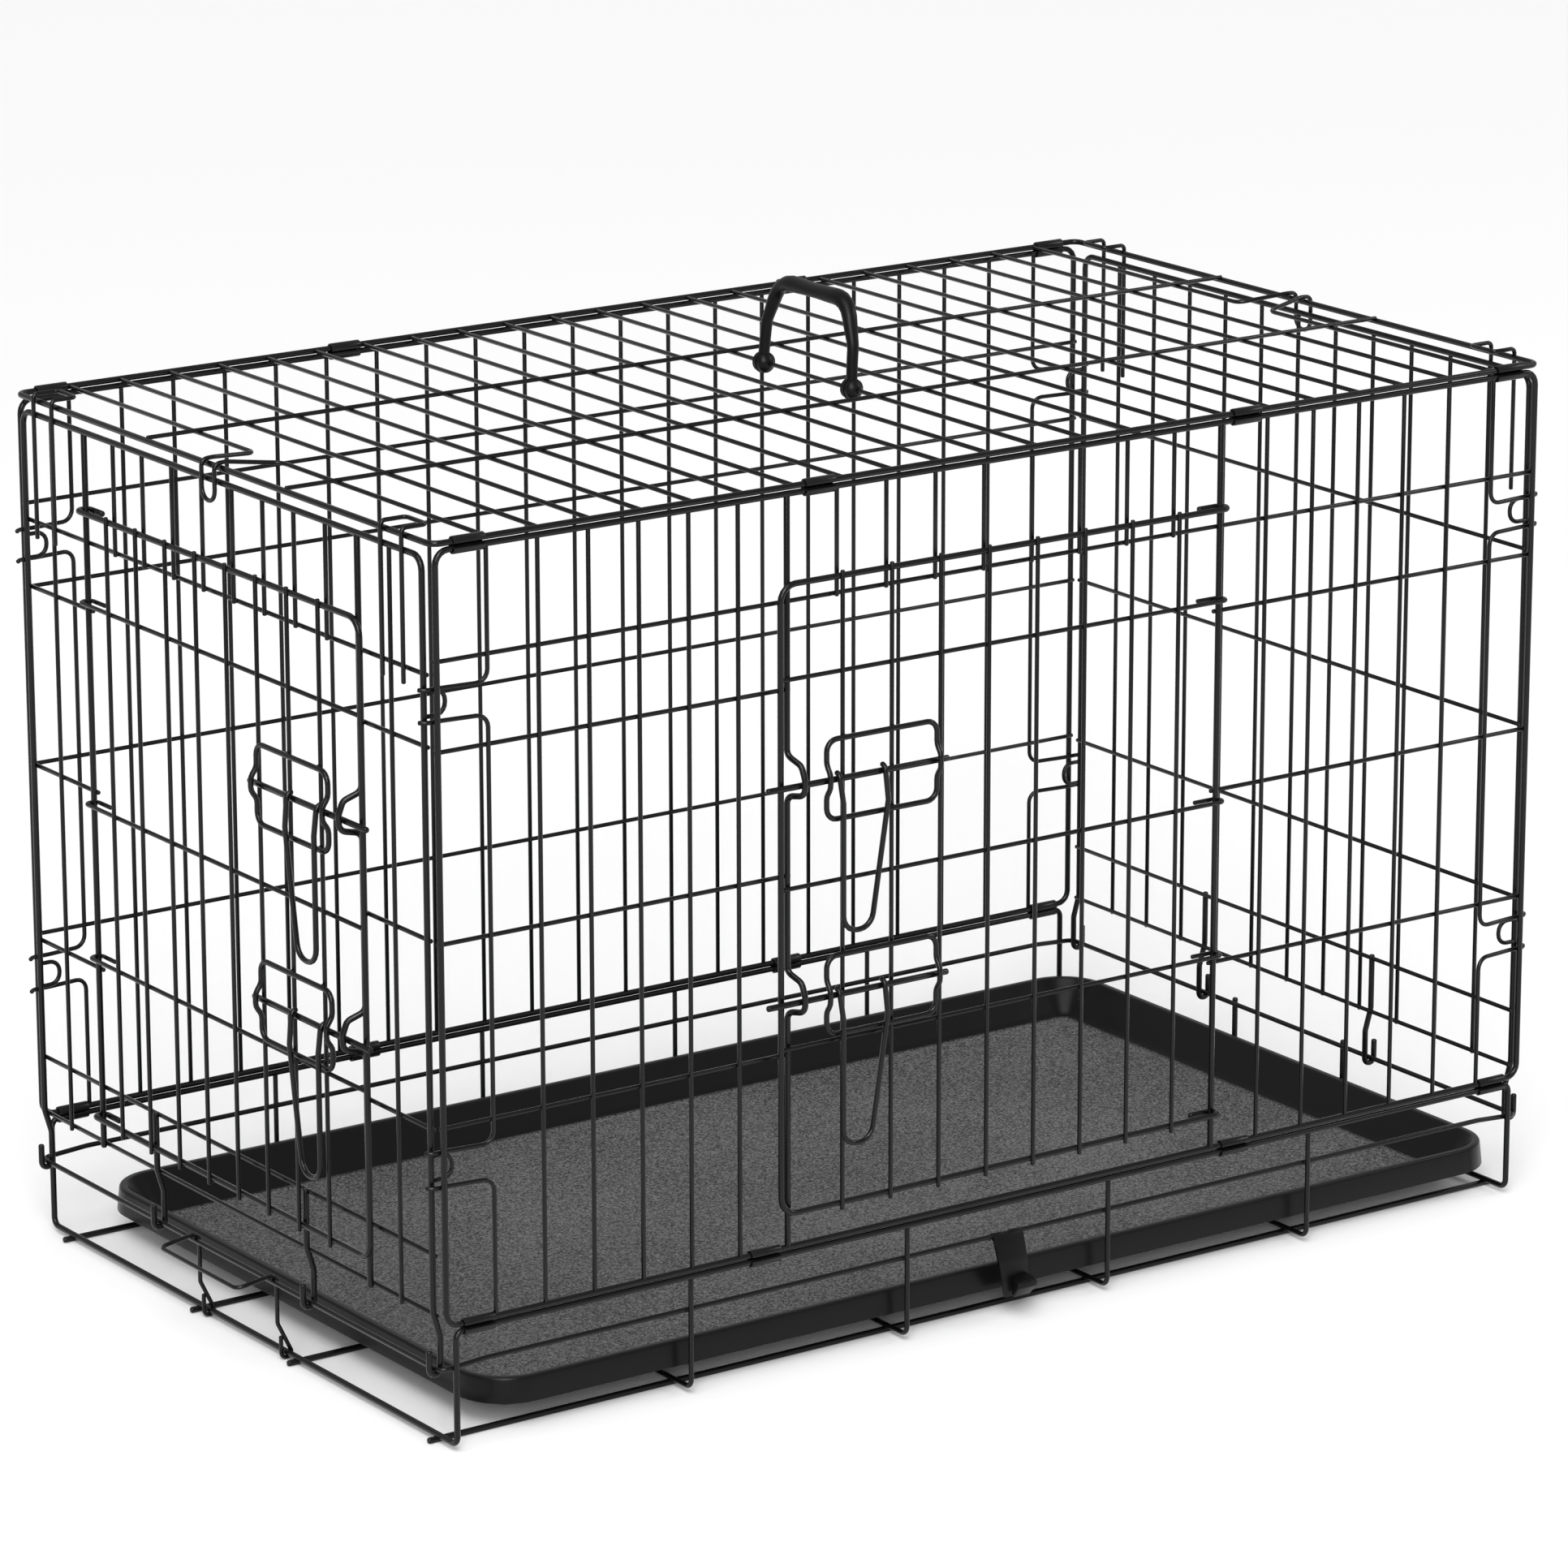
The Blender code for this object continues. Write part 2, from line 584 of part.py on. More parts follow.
def rail_clip(mat):
    """Moulded clip: a split barrel on the front mid rail, a strap and a ribbed thumb tab."""
    y0, z0 = -MID_Y, MID_RAIL
    bore = R_BASE + GAP
    outer, inner = ([(r * math.cos(t), r * math.sin(t)) for t in (math.radians(d) for d in range(-60, 211, 30))]
                    for r in (CLIP_BARREL, bore))
    low = z0 - CLIP_DROP
    strap_out = [(y0 - 7.0, z0 - 12), (y0 - 8.5, z0 - 22), (y0 - 8.0, low + 8), (y0 - 6.0, low)]
    strap_in = [(y0 - 3.5, low), (y0 - 5.5, low + 8), (y0 - 6.0, z0 - 22), (y0 - 4.4, z0 - 12)]
    outline = [(y0 + p, z0 + q) for p, q in outer] + strap_out + strap_in + [(y0 + p, z0 + q) for p, q in inner[::-1]]
    thumb = [(y0 - 7.2, z0 - 23.5), (y0 - CLIP_REACH, z0 - 26), (y0 - CLIP_REACH, z0 - 30), (y0 - 9.0, low + 1.5),
             (y0 - 6.6, low + 1.5)]
    grip = prism("rail_clip", outline, [], lambda p, k: (CLIP_HALF * (2 * k - 1), p[0], p[1]))
    tab = prism("rail_clip_tab", thumb, [], lambda p, k: (CLIP_TAB[k], p[0], p[1]))
    made = weld("rail_clip", [grip, tab], mat)
    set_origin(made, (0, y0, z0))


def carry_handle(mat):
    """Moulded grip with two round feet closed on one of the top's cross wires."""
    half = LENGTH / 2 - TOP_INSET
    x = half / (TOP_WIRES - 1)
    top = TOP_Z
    spread_y = GRIP_SPAN / 2
    bm = bmesh.new()
    sections = []
    spine = fillet([(x, -spread_y, top + 3.5), (x, -spread_y + 2, top + 24), (x, -spread_y + 11, top + GRIP_RISE),
                    (x, spread_y - 11, top + GRIP_RISE), (x, spread_y - 2, top + 24), (x, spread_y, top + 3.5)],
                   13.0, steps=3)
    for i, p in enumerate(spine):
        ahead = spine[min(i + 1, len(spine) - 1)] - spine[max(i - 1, 0)]
        ahead.normalize()
        out = Vector((1, 0, 0)).cross(ahead)
        sections.append([bm.verts.new(place(p + Vector((1, 0, 0)) * 5.5 * math.cos(t) + out * 4.2 * math.sin(t)))
                         for t in (math.radians(45 * k) for k in range(8))])
    for a, b in zip(sections, sections[1:]):
        for i in range(8):
            j = (i + 1) % 8
            bm.faces.new((a[i], a[j], b[j], b[i]))
    bm.faces.new(sections[0])
    bm.faces.new(sections[-1])
    bmesh.ops.recalc_face_normals(bm, faces=bm.faces)
    mesh = bpy.data.meshes.new("grip")
    bm.to_mesh(mesh)
    bm.free()
    grip = bpy.data.objects.new("grip", mesh)
    feet = []
    bore = R_GRID + GAP
    for s in (-1, 1):
        def ring(r, n=12):
            return [(r * math.cos(2 * math.pi * k / n), r * math.sin(2 * math.pi * k / n)) for k in range(n)]
        feet.append(prism("foot", ring(6.0), [ring(bore)],
                          lambda p, k, s=s: (x + p[0], s * spread_y + 5.5 * (2 * k - 1), top + p[1])))
    groups = [grip] + feet
    made = weld("carry_handle", groups, mat)
    set_origin(made, (x, 0, top))


clear_scene()
parts = new_collection("wire_dog_crate")
cutters = new_collection("cutters")

coat = material("black_coated_wire", (0.012, 0.012, 0.013), 0.42, 0.1)
door_coat = material("black_coated_door_wire", (0.014, 0.014, 0.015), 0.40, 0.1)
latch_coat = material("black_latch_wire", (0.016, 0.016, 0.017), 0.36, 0.15)
sheet = material("black_hinge_sheet", (0.018, 0.018, 0.019), 0.5, 0.2)
pan = material("black_tray_plastic", (0.03, 0.03, 0.031), 0.62)
grip_plastic = material("black_moulded_plastic", (0.013, 0.013, 0.014), 0.45)

base_frame(coat)
long_panel("front_panel", -1, FRONT_DOOR, coat)
long_panel("back_panel", 1, None, coat)
top_panel(coat)
end_panel("left_end_panel", -1, END_DOOR, coat)
end_panel("right_end_panel", 1, None, coat)


def on_front(s, z, out=0.0):
    return (s, -RAIL_Y - out, z)


def on_end(s, z, out=0.0):
    return (-END_X - out, s, z)


door("front_door", on_front, FRONT_DOOR, door_coat)
door("end_door", on_end, END_DOOR, door_coat)
for label, at_wall, span in (("front", on_front, FRONT_DOOR), ("end", on_end, END_DOOR)):
    for place_name, level in zip(("upper", "lower"), LATCH_HEIGHTS):
        latch(f"{label}_{place_name}", at_wall, span[0], level, latch_coat)

roof_end = LENGTH / 2 - TOP_INSET
roof_wires = [(x, R_GRID) for x in spread(-roof_end, roof_end, TOP_WIRES - 1)]
base_wires = [(s * c, R_BASE) for s in (-1, 1) for c in CROSS_WIRES]
for label, side, doorway in (("front", -1, FRONT_DOOR), ("back", 1, None)):
    full, heads, posts = panel_uprights(doorway)
    standing = [(x, R_GRID) for x in full] + [(x, R_FRAME) for x in posts]
    for level, z_mid in (("top", HEIGHT + R_FRAME + GAP / 2), ("low", BASE_RISE + R_FRAME + GAP / 2)):
        across = roof_wires + [(x, R_GRID) for x in heads] if level == "top" else base_wires
        middles = [clear_spot(x, standing + across) for x in CLIP_MIDDLES[label, level]]
        for k, x in enumerate((-CORNER_CLIP, *middles, CORNER_CLIP)):
            hinge_clip(f"hinge_clip_{label}_{level}_{k + 1}", x, side, z_mid, sheet)

tray(pan)
tray_gate(latch_coat)
rail_clip(grip_plastic)
carry_handle(grip_plastic)
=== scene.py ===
import math

import bmesh
import bpy
from mathutils import Matrix, Vector


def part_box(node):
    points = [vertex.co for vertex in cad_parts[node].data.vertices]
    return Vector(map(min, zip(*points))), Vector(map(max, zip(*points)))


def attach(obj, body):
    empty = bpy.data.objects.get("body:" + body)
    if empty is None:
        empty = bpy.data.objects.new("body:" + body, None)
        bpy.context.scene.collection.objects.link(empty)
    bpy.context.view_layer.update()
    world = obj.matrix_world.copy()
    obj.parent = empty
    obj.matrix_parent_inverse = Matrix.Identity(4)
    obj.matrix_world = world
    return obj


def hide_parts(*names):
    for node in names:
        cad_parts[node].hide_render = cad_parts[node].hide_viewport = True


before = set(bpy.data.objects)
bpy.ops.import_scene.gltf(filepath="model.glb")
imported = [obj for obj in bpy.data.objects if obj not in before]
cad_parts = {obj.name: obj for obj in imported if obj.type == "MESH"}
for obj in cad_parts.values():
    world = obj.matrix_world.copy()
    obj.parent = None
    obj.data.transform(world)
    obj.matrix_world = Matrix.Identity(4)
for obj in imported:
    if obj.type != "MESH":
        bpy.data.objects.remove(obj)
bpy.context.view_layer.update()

print("crate loaded:", len(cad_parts), "CAD nodes")

# Everything below is in millimetres from the middle of the tray, with z = 0 at the floor's end wires.
floorGap, trayPushed = 0.0021, 0.015  # the tray lies on the floor wires, pushed home to the right
trayLow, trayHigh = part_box("tray")
crateOrigin = Vector(((trayLow.x + trayHigh.x) / 2 - trayPushed, (trayLow.y + trayHigh.y) / 2, trayLow.z - floorGap))


def spot(x, y, z):
    return crateOrigin + Vector((x, y, z)) * 0.001


# A Num wraps a socket and adds Math nodes when it is used in an expression.
class Num:
    def __init__(self, graph, socket):
        self.graph, self.socket = graph, socket

    def maths(self, operation, a, b=None, c=None):
        sockets = {i: s for i, s in enumerate((a, b, c)) if s is not None}
        return Num(self.graph, self.graph.add("Math", {"operation": operation}, sockets).outputs[0])

    def __add__(self, other):
        return self.maths("ADD", self, other)

    def __radd__(self, other):
        return self.maths("ADD", other, self)

    def __sub__(self, other):
        return self.maths("SUBTRACT", self, other)

    def __rsub__(self, other):
        return self.maths("SUBTRACT", other, self)

    def __mul__(self, other):
        return self.maths("MULTIPLY", self, other)

    def __rmul__(self, other):
        return self.maths("MULTIPLY", other, self)

    def clamp(self, low, high):
        return self.maths("MINIMUM", self.maths("MAXIMUM", self, low), high)


class Finish:
    def __init__(self, name):
        self.made = bpy.data.materials.new(name)
        self.made.use_nodes = True
        self.tree = self.made.node_tree
        self.shader = self.tree.nodes["Principled BSDF"]
        self.place = self.add("TexCoord").outputs["Object"]

    def add(self, kind, settings=None, sockets=None):
        node = self.tree.nodes.new("ShaderNode" + kind)
        for key, value in (settings or {}).items():
            setattr(node, key, value)
        for key, value in (sockets or {}).items():
            value = getattr(value, "socket", value)
            if isinstance(value, bpy.types.NodeSocket):
                self.tree.links.new(value, node.inputs[key])
            else:
                node.inputs[key].default_value = value
        return node

    def noise(self, scale, detail=3.0, roughness=0.5):
        return Num(self, self.add("TexNoise", {}, {
            "Vector": self.place, "Scale": scale, "Detail": detail, "Roughness": roughness}).outputs[0])

    def mix(self, share, a, b):
        made = self.add("Mix", {"data_type": "RGBA"}, {0: share, 6: (*a, 1.0), 7: (*b, 1.0)})
        return made.outputs[2]

    def height(self):
        return Num(self, self.add("SeparateXYZ", {}, {0: self.place}).outputs[2])

    def feed(self, **sockets):
        names = {"colour": "Base Color", "roughness": "Roughness", "specular": "Specular IOR Level"}
        for name, value in sockets.items():
            key = names[name]
            value = getattr(value, "socket", value)
            if isinstance(value, bpy.types.NodeSocket):
                self.tree.links.new(value, self.shader.inputs[key])
            else:
                self.shader.inputs[key].default_value = value
        return self

    def bump(self, height, distance, strength=1.0):
        made = self.add("Bump", {}, {"Height": height, "Distance": distance, "Strength": strength})
        self.tree.links.new(made.outputs[0], self.shader.inputs["Normal"])
        return self


wireCoat = {"dark": (0.0022, 0.0022, 0.0023), "light": (0.0042, 0.0042, 0.0043), "roughness": 0.20, "spread": 0.08,
            "specular": 0.26, "peel": 0.00005}


def coatedWire(name, shade=1.0, roughness=0.0):
    # baked black enamel on drawn wire: an orange-peel skin with duller patches
    made = Finish(name)
    cloud, peel = made.noise(22.0, 2.0), made.noise(900.0, 2.0)
    dark, light = ([c * shade for c in wireCoat[k]] for k in ("dark", "light"))
    made.feed(colour=made.mix(cloud, dark, light), specular=wireCoat["specular"],
              roughness=(wireCoat["roughness"] + roughness + wireCoat["spread"] * (cloud - 0.5)
                         + 0.10 * (peel - 0.5)).clamp(0.12, 0.9))
    return made.bump(peel + 0.5 * cloud, wireCoat["peel"])


panelCoat = coatedWire("panelCoat")
doorCoat = coatedWire("doorCoat", 1.06)
latchCoat = coatedWire("latchCoat", 1.12, -0.03)
clipSteel = coatedWire("clipSteel", 1.15, 0.08)

# rim is a painted highlight: a lighter colour for the thin band along the top of the tray's rim
trayLook = {"floor": (0.032, 0.032, 0.0324), "speck": (0.165, 0.165, 0.164), "wall": (0.0032, 0.0032, 0.0033),
            "rim": (0.010, 0.010, 0.0101), "grain": 0.0003, "specular": 0.16}


def trayPlastic():
    # formed sheet: a leather grain on the floor, smooth walls and a painted highlight along the top of the rim
    made = Finish("trayPlastic")
    high = made.height() - crateOrigin.z
    onFloor = (1.0 - (high - 0.0044) * 900.0).clamp(0.0, 1.0)
    # painted highlight: the top band of the rim, found by height, gets the lighter rim colour
    rimHighlightBand = ((high - 0.0252) * 1400.0).clamp(0.0, 1.0)
    grain = made.add("TexVoronoi", {"feature": "DISTANCE_TO_EDGE"}, {"Vector": made.place, "Scale": 560.0})
    creases = Num(made, grain.outputs[0])
    fine, cloud = made.noise(760.0, 2.0, 0.6), made.noise(7.0, 3.0)
    speckle = ((fine - 0.40) * 4.2 + (cloud - 0.5) * 0.6).clamp(0.0, 1.0)
    wall = made.mix(rimHighlightBand, trayLook["wall"], trayLook["rim"])
    floor = made.mix(speckle, trayLook["floor"], trayLook["speck"])
    colour = made.add("Mix", {"data_type": "RGBA"}, {0: onFloor, 6: wall, 7: floor}).outputs[2]
    made.feed(colour=colour, specular=trayLook["specular"],
              roughness=0.30 + onFloor * 0.34 + (cloud - 0.5) * 0.10)
    return made.bump((creases * 2.0 + fine) * onFloor + 0.12 * cloud, trayLook["grain"])


def mouldedPlastic():
    made = Finish("mouldedPlastic")
    cloud, skin = made.noise(40.0, 2.0), made.noise(1300.0, 2.0)
    made.feed(colour=made.mix(cloud, (0.002, 0.002, 0.0021), (0.0036, 0.0036, 0.0037)), specular=0.16,
              roughness=0.36 + 0.12 * (cloud - 0.5))
    return made.bump(skin + cloud, 0.00005)


trayFinish, plasticFinish = trayPlastic(), mouldedPlastic()
print("finishes made")


def bent(points, radius, closed=False):
    # round the corners of a run of points, with more steps in a longer bend
    points = [Vector(p) for p in points]
    run, last = [], len(points) - 1
    for i, p in enumerate(points):
        if not closed and i in (0, last):
            run.append(p)
            continue
        towards, away = points[i - 1] - p, points[(i + 1) % len(points)] - p
        shortest = min(towards.length, away.length)
        towards.normalize()
        away.normalize()
        turn = math.pi - towards.angle(away)
        if turn < 0.02:
            run.append(p)
            continue
        reach = min(radius * math.tan(turn / 2), 0.49 * shortest)
        bend = reach / math.tan(turn / 2)
        centre = p + (towards + away).normalized() * (bend / math.cos(turn / 2))
        start, end = p + towards * reach, p + away * reach
        axis = (start - centre).cross(end - centre).normalized()
        steps = max(2, round(turn / 0.3))
        run += [centre + Matrix.Rotation(turn * k / steps, 3, axis) @ (start - centre) for k in range(steps + 1)]
    return run


def arc(centre, radius, start, end, across, steps=8):
    u, v = (Vector(a) for a in across)
    turns = [math.radians(start + (end - start) * k / steps) for k in range(steps + 1)]
    return [Vector(centre) + radius * (math.cos(t) * u + math.sin(t) * v) for t in turns]


def spread(low, high, bays):
    return [low + (high - low) * k / bays for k in range(bays + 1)]


# A finished piece rides on its body and stands for its CAD nodes.
def finished(bm, name, nodes, body, look, sharp=38.0):
    mesh = bpy.data.meshes.new(name)
    bm.to_mesh(mesh)
    bm.free()
    mesh.shade_smooth()
    mesh.set_sharp_from_angle(angle=math.radians(sharp))
    mesh.materials.append(look.made)
    piece = bpy.data.objects.new(name, mesh)
    bpy.context.scene.collection.objects.link(piece)
    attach(piece, body)
    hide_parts(*nodes)
    return piece


# A cropped end's rounding: how far in from the end and how thick, as shares of the wire's radius.
croppedTip = ((0.0, 0.6), (0.16, 0.86), (0.5, 1.0))


# Round wires as one mesh; a run is its points, its wire radius and whether it closes.
def wireWork(runs):
    line = bpy.data.curves.new("wireWork", "CURVE")
    line.dimensions, line.bevel_depth, line.bevel_resolution, line.use_fill_caps = "3D", 0.001, 4, True
    for points, radius, closed in runs:
        points = [Vector(p) for p in points]
        radii = [radius] * len(points)
        if not closed:
            for end, inward in ((0, 1), (-1, -2)):
                step = (points[inward] - points[end]).normalized()
                tip = [(points[end] + step * share * radius, thick * radius) for share, thick in croppedTip]
                tip, cut = (tip, slice(0, 1)) if end == 0 else (tip[::-1], slice(-1, None))
                points[cut], radii[cut] = [p for p, _ in tip], [r for _, r in tip]
        strand = line.splines.new("POLY")
        strand.points.add(len(points) - 1)
        for target, p, r in zip(strand.points, points, radii):
            target.co = (*spot(*p), 1.0)
            target.radius = r
        strand.use_cyclic_u = closed
    rig = bpy.data.objects.new("wireWork", line)
    bpy.context.scene.collection.objects.link(rig)
    bpy.context.view_layer.update()
    mesh = bpy.data.meshes.new_from_object(rig.evaluated_get(bpy.context.evaluated_depsgraph_get()))
    bpy.data.objects.remove(rig, do_unlink=True)
    bpy.data.curves.remove(line)
    bm = bmesh.new()
    bm.from_mesh(mesh)
    bpy.data.meshes.remove(mesh)
    bmesh.ops.remove_doubles(bm, verts=bm.verts, dist=0.000004)
    bmesh.ops.recalc_face_normals(bm, faces=bm.faces)
    return bm


# Spot welds: a low bead where two wires were pressed together.
def addBeads(bm, places, size):
    for place, across in places:
        turn = Vector((0, 0, 1)).rotation_difference(Vector(across)).to_matrix().to_4x4()
        scale = Matrix.Diagonal((size * 0.001, size * 0.001, size * 0.00062, 1.0))
        bmesh.ops.create_uvsphere(bm, u_segments=8, v_segments=4, radius=1.0,
                                  matrix=Matrix.Translation(spot(*place)) @ turn @ scale)


crate = {"length": 764.0, "depth": 448.0, "height": 505.0, "gap": 0.3,
         "frameWire": 1.8, "gridWire": 1.3, "baseWire": 1.5, "floorWire": 1.8}
frameWire, gridWire, crateGap = crate["frameWire"], crate["gridWire"], crate["gap"]
railY = crate["depth"] / 2
gridIn = 0.68 * 2 * gridWire
endX = crate["length"] / 2 + 3.0

base = {"length": 752.0, "rise": 66.1, "midRail": 46.0, "endRail": 44.0, "crossWires": (72.0, 221.0),
        "floorLongs": (54.0, 203.0), "bend": 5.0}
endRailX = endX - 0.5
midY = railY - 0.85 * 2 * crate["baseWire"]
panelLow = base["rise"] + 2 * frameWire + crateGap
topZ = crate["height"] + 2 * frameWire + crateGap


def baseFrame():
    half, rise, wire = base["length"] / 2, base["rise"], crate["baseWire"]
    hoop = bent([(-half, -railY, rise), (half, -railY, rise), (half, -railY, 0), (half, railY, 0),
                 (half, railY, rise), (-half, railY, rise), (-half, railY, 0), (-half, -railY, 0)], 5.0, True)
    runs, beads = [(hoop, frameWire, True)], []
    for x in [s * c for c in base["crossWires"] for s in (-1, 1)]:
        runs.append((bent([(x, -railY, rise), (x, -railY, 0), (x, railY, 0), (x, railY, rise)], base["bend"]),
                     wire, False))
        for s in (-1, 1):
            beads += [((x, s * railY, rise), (0, s, 0)), ((x, s * (railY + midY) / 2, base["midRail"]), (0, s, 0))]
    corners = []
    for sx, sy in ((-1, -1), (1, -1), (1, 1), (-1, 1)):
        turn = bent([(sx * (endRailX - 30), sy * midY, base["midRail"]), (sx * endRailX, sy * midY, base["endRail"]),
                     (sx * endRailX, sy * (midY - 30), base["endRail"])], 5.0)
        corners += turn if sx * sy < 0 else turn[::-1]
    runs.append((corners, wire, True))
    drop = 0.85 * (wire + crate["floorWire"])
    out = endRailX + drop
    near, far = base["floorLongs"]
    for s in (-1, 1):
        runs.append(([(-half - 6, s * far, -drop), (half + 6, s * far, -drop)], crate["floorWire"], False))
        runs.append((bent([(-half - 6, s * near, -drop), (out, s * near, -drop),
                           (out, s * near, base["endRail"] + 3)], 6.0), crate["floorWire"], False))
        for y in (near, far):
            beads += [((x, s * y, -drop / 2), (0, 0, 1)) for x in (
                -half, half, *(t * c for c in base["crossWires"] for t in (-1, 1)))]
    bm = wireWork(runs)
    addBeads(bm, beads, 1.9)
    return finished(bm, "baseFrameWires", ["base_frame"], "crate_frame", panelCoat)


sides = {"levels": (183.0, 287.0, 394.0), "header": 444.0, "slotIn": 32.0, "slotHeights": (420.0, 159.5),
         "slotGap": 18.0, "slotHook": 8.2, "slotReach": 5.2, "slotTuck": 1.1, "slotTip": 4.4, "backBays": 20,
         "cornerBend": 8.0}
doorBays, sideBays = 9, 6
rowEnd, rowLap = 1.5, 3.0  # how far a row wire runs past a panel's edge, and past a doorway's post
latchSizes = {"heights": (341.0, 216.0), "wire": 1.6, "boltWire": 1.8}
doorOut = 2 * frameWire + crateGap
doorGrid = doorOut + 0.68 * 2 * gridWire
boltOut = doorGrid + gridWire + crateGap + latchSizes["boltWire"]
latchOut = doorGrid + gridWire + crateGap + latchSizes["wire"]
latchHigh = boltOut + latchSizes["boltWire"] + latchSizes["wire"] + crateGap
pullOut = latchHigh + 0.4


# A post's bend at a bolt: the step along the panel, the height from the bolt and the share of the way out.
keeperBend = ((0, -7.5, 0.0), (3, -5.2, 1.0), (3, 4, 1.0), (2.5, 11.5, 0.8), (0, 16, 0.0))


# A doorway's upright, bent outwards where each bolt passes behind it.
def keeperPost(s, low, high, at):
    out = boltOut + latchSizes["boltWire"] + frameWire + crateGap
    run = [at(s, low)]
    for z in sorted(latchSizes["heights"]):
        run += [at(s + along, z + rise, share * out) for along, rise, share in keeperBend]
    return bent(run + [at(s, high)], 5.0)


def onSide(side):
    return lambda x, z, out=0.0: (x, side * (railY + out), z)


def longPanel(name, node, side, doorway):
    at, half, high = onSide(side), crate["length"] / 2, crate["height"]
    slotX = half - sides["slotIn"]
    loop = bent([at(-half, panelLow), at(half, panelLow), at(half, high), at(-half, high)], sides["cornerBend"], True)
    runs = [(loop, frameWire, True)]

    def slotEnd(s, z):
        tuck = -frameWire - sides["slotTuck"]
        return [at(s * slotX, z), at(s * (half - 6), z, tuck), at(s * (half + sides["slotReach"]), z, tuck),
                at(s * (half + sides["slotHook"]), z, -frameWire - sides["slotTip"])]

    upper, lower = sides["slotHeights"]
    edge = sides["slotGap"] / 2
    slotRows = []
    for s in (-1, 1):
        runs += [(bent(run, 7.0), gridWire, False) for run in (
            [at(s * slotX, high)] + slotEnd(s, upper + edge),
            slotEnd(s, upper - edge)[::-1] + slotEnd(s, lower + edge + 1),
            slotEnd(s, lower - edge - 1)[::-1] + [at(s * slotX, panelLow)])]
        slotRows.append(s * slotX)
    if doorway:
        latchX, hingeX = doorway
        fullHeight = spread(-slotX, latchX, sideBays)[1:-1] + spread(hingeX, slotX, sideBays)[1:-1]
        heads = spread(latchX, hingeX, doorBays)[1:-1]
        runs += [(keeperPost(latchX, panelLow, high, at), frameWire, False),
                 ([at(hingeX, panelLow), at(hingeX, high)], frameWire, False)]
        spans = [(-half - rowEnd, latchX + rowLap), (hingeX - rowLap, half + rowEnd)]
    else:
        fullHeight, heads = spread(-slotX, slotX, sides["backBays"])[1:-1], []
        spans = [(-half - rowEnd, half + rowEnd)]
    runs += [([at(x, panelLow), at(x, high)], gridWire, False) for x in fullHeight]
    runs += [([at(x, sides["header"] - 1.5), at(x, high)], gridWire, False) for x in heads]
    beads = []
    for z, (a, b) in [(z, span) for z in sides["levels"] for span in spans] + [
            (sides["header"], (-half - rowEnd, half + rowEnd))]:
        runs.append(([at(a, z, -gridIn), at(b, z, -gridIn)], gridWire, False))
        inside = (z - upper) * (z - lower)
        crossed = [x for x in fullHeight + slotRows + (heads if z == sides["header"] else []) if a < x < b]
        beads += [(at(x, z, -gridIn / 2), (0, side, 0)) for x in crossed if inside]
    bm = wireWork(runs)
    addBeads(bm, beads, 1.6)
    return finished(bm, name, [node], "crate_frame", panelCoat)


ends = {"span": 431.0, "drop": 4.0, "header": 436.0, "levels": (109.0, 181.0, 288.0, 396.0), "bays": 12,
        "hookTip": 11.0, "tabs": (178.0, 199.0), "tabLow": 428.0, "tabTip": 14.0, "feet": 83.0, "loop": 13.0,
        "foot": 72.0, "lowRow": 74.5}


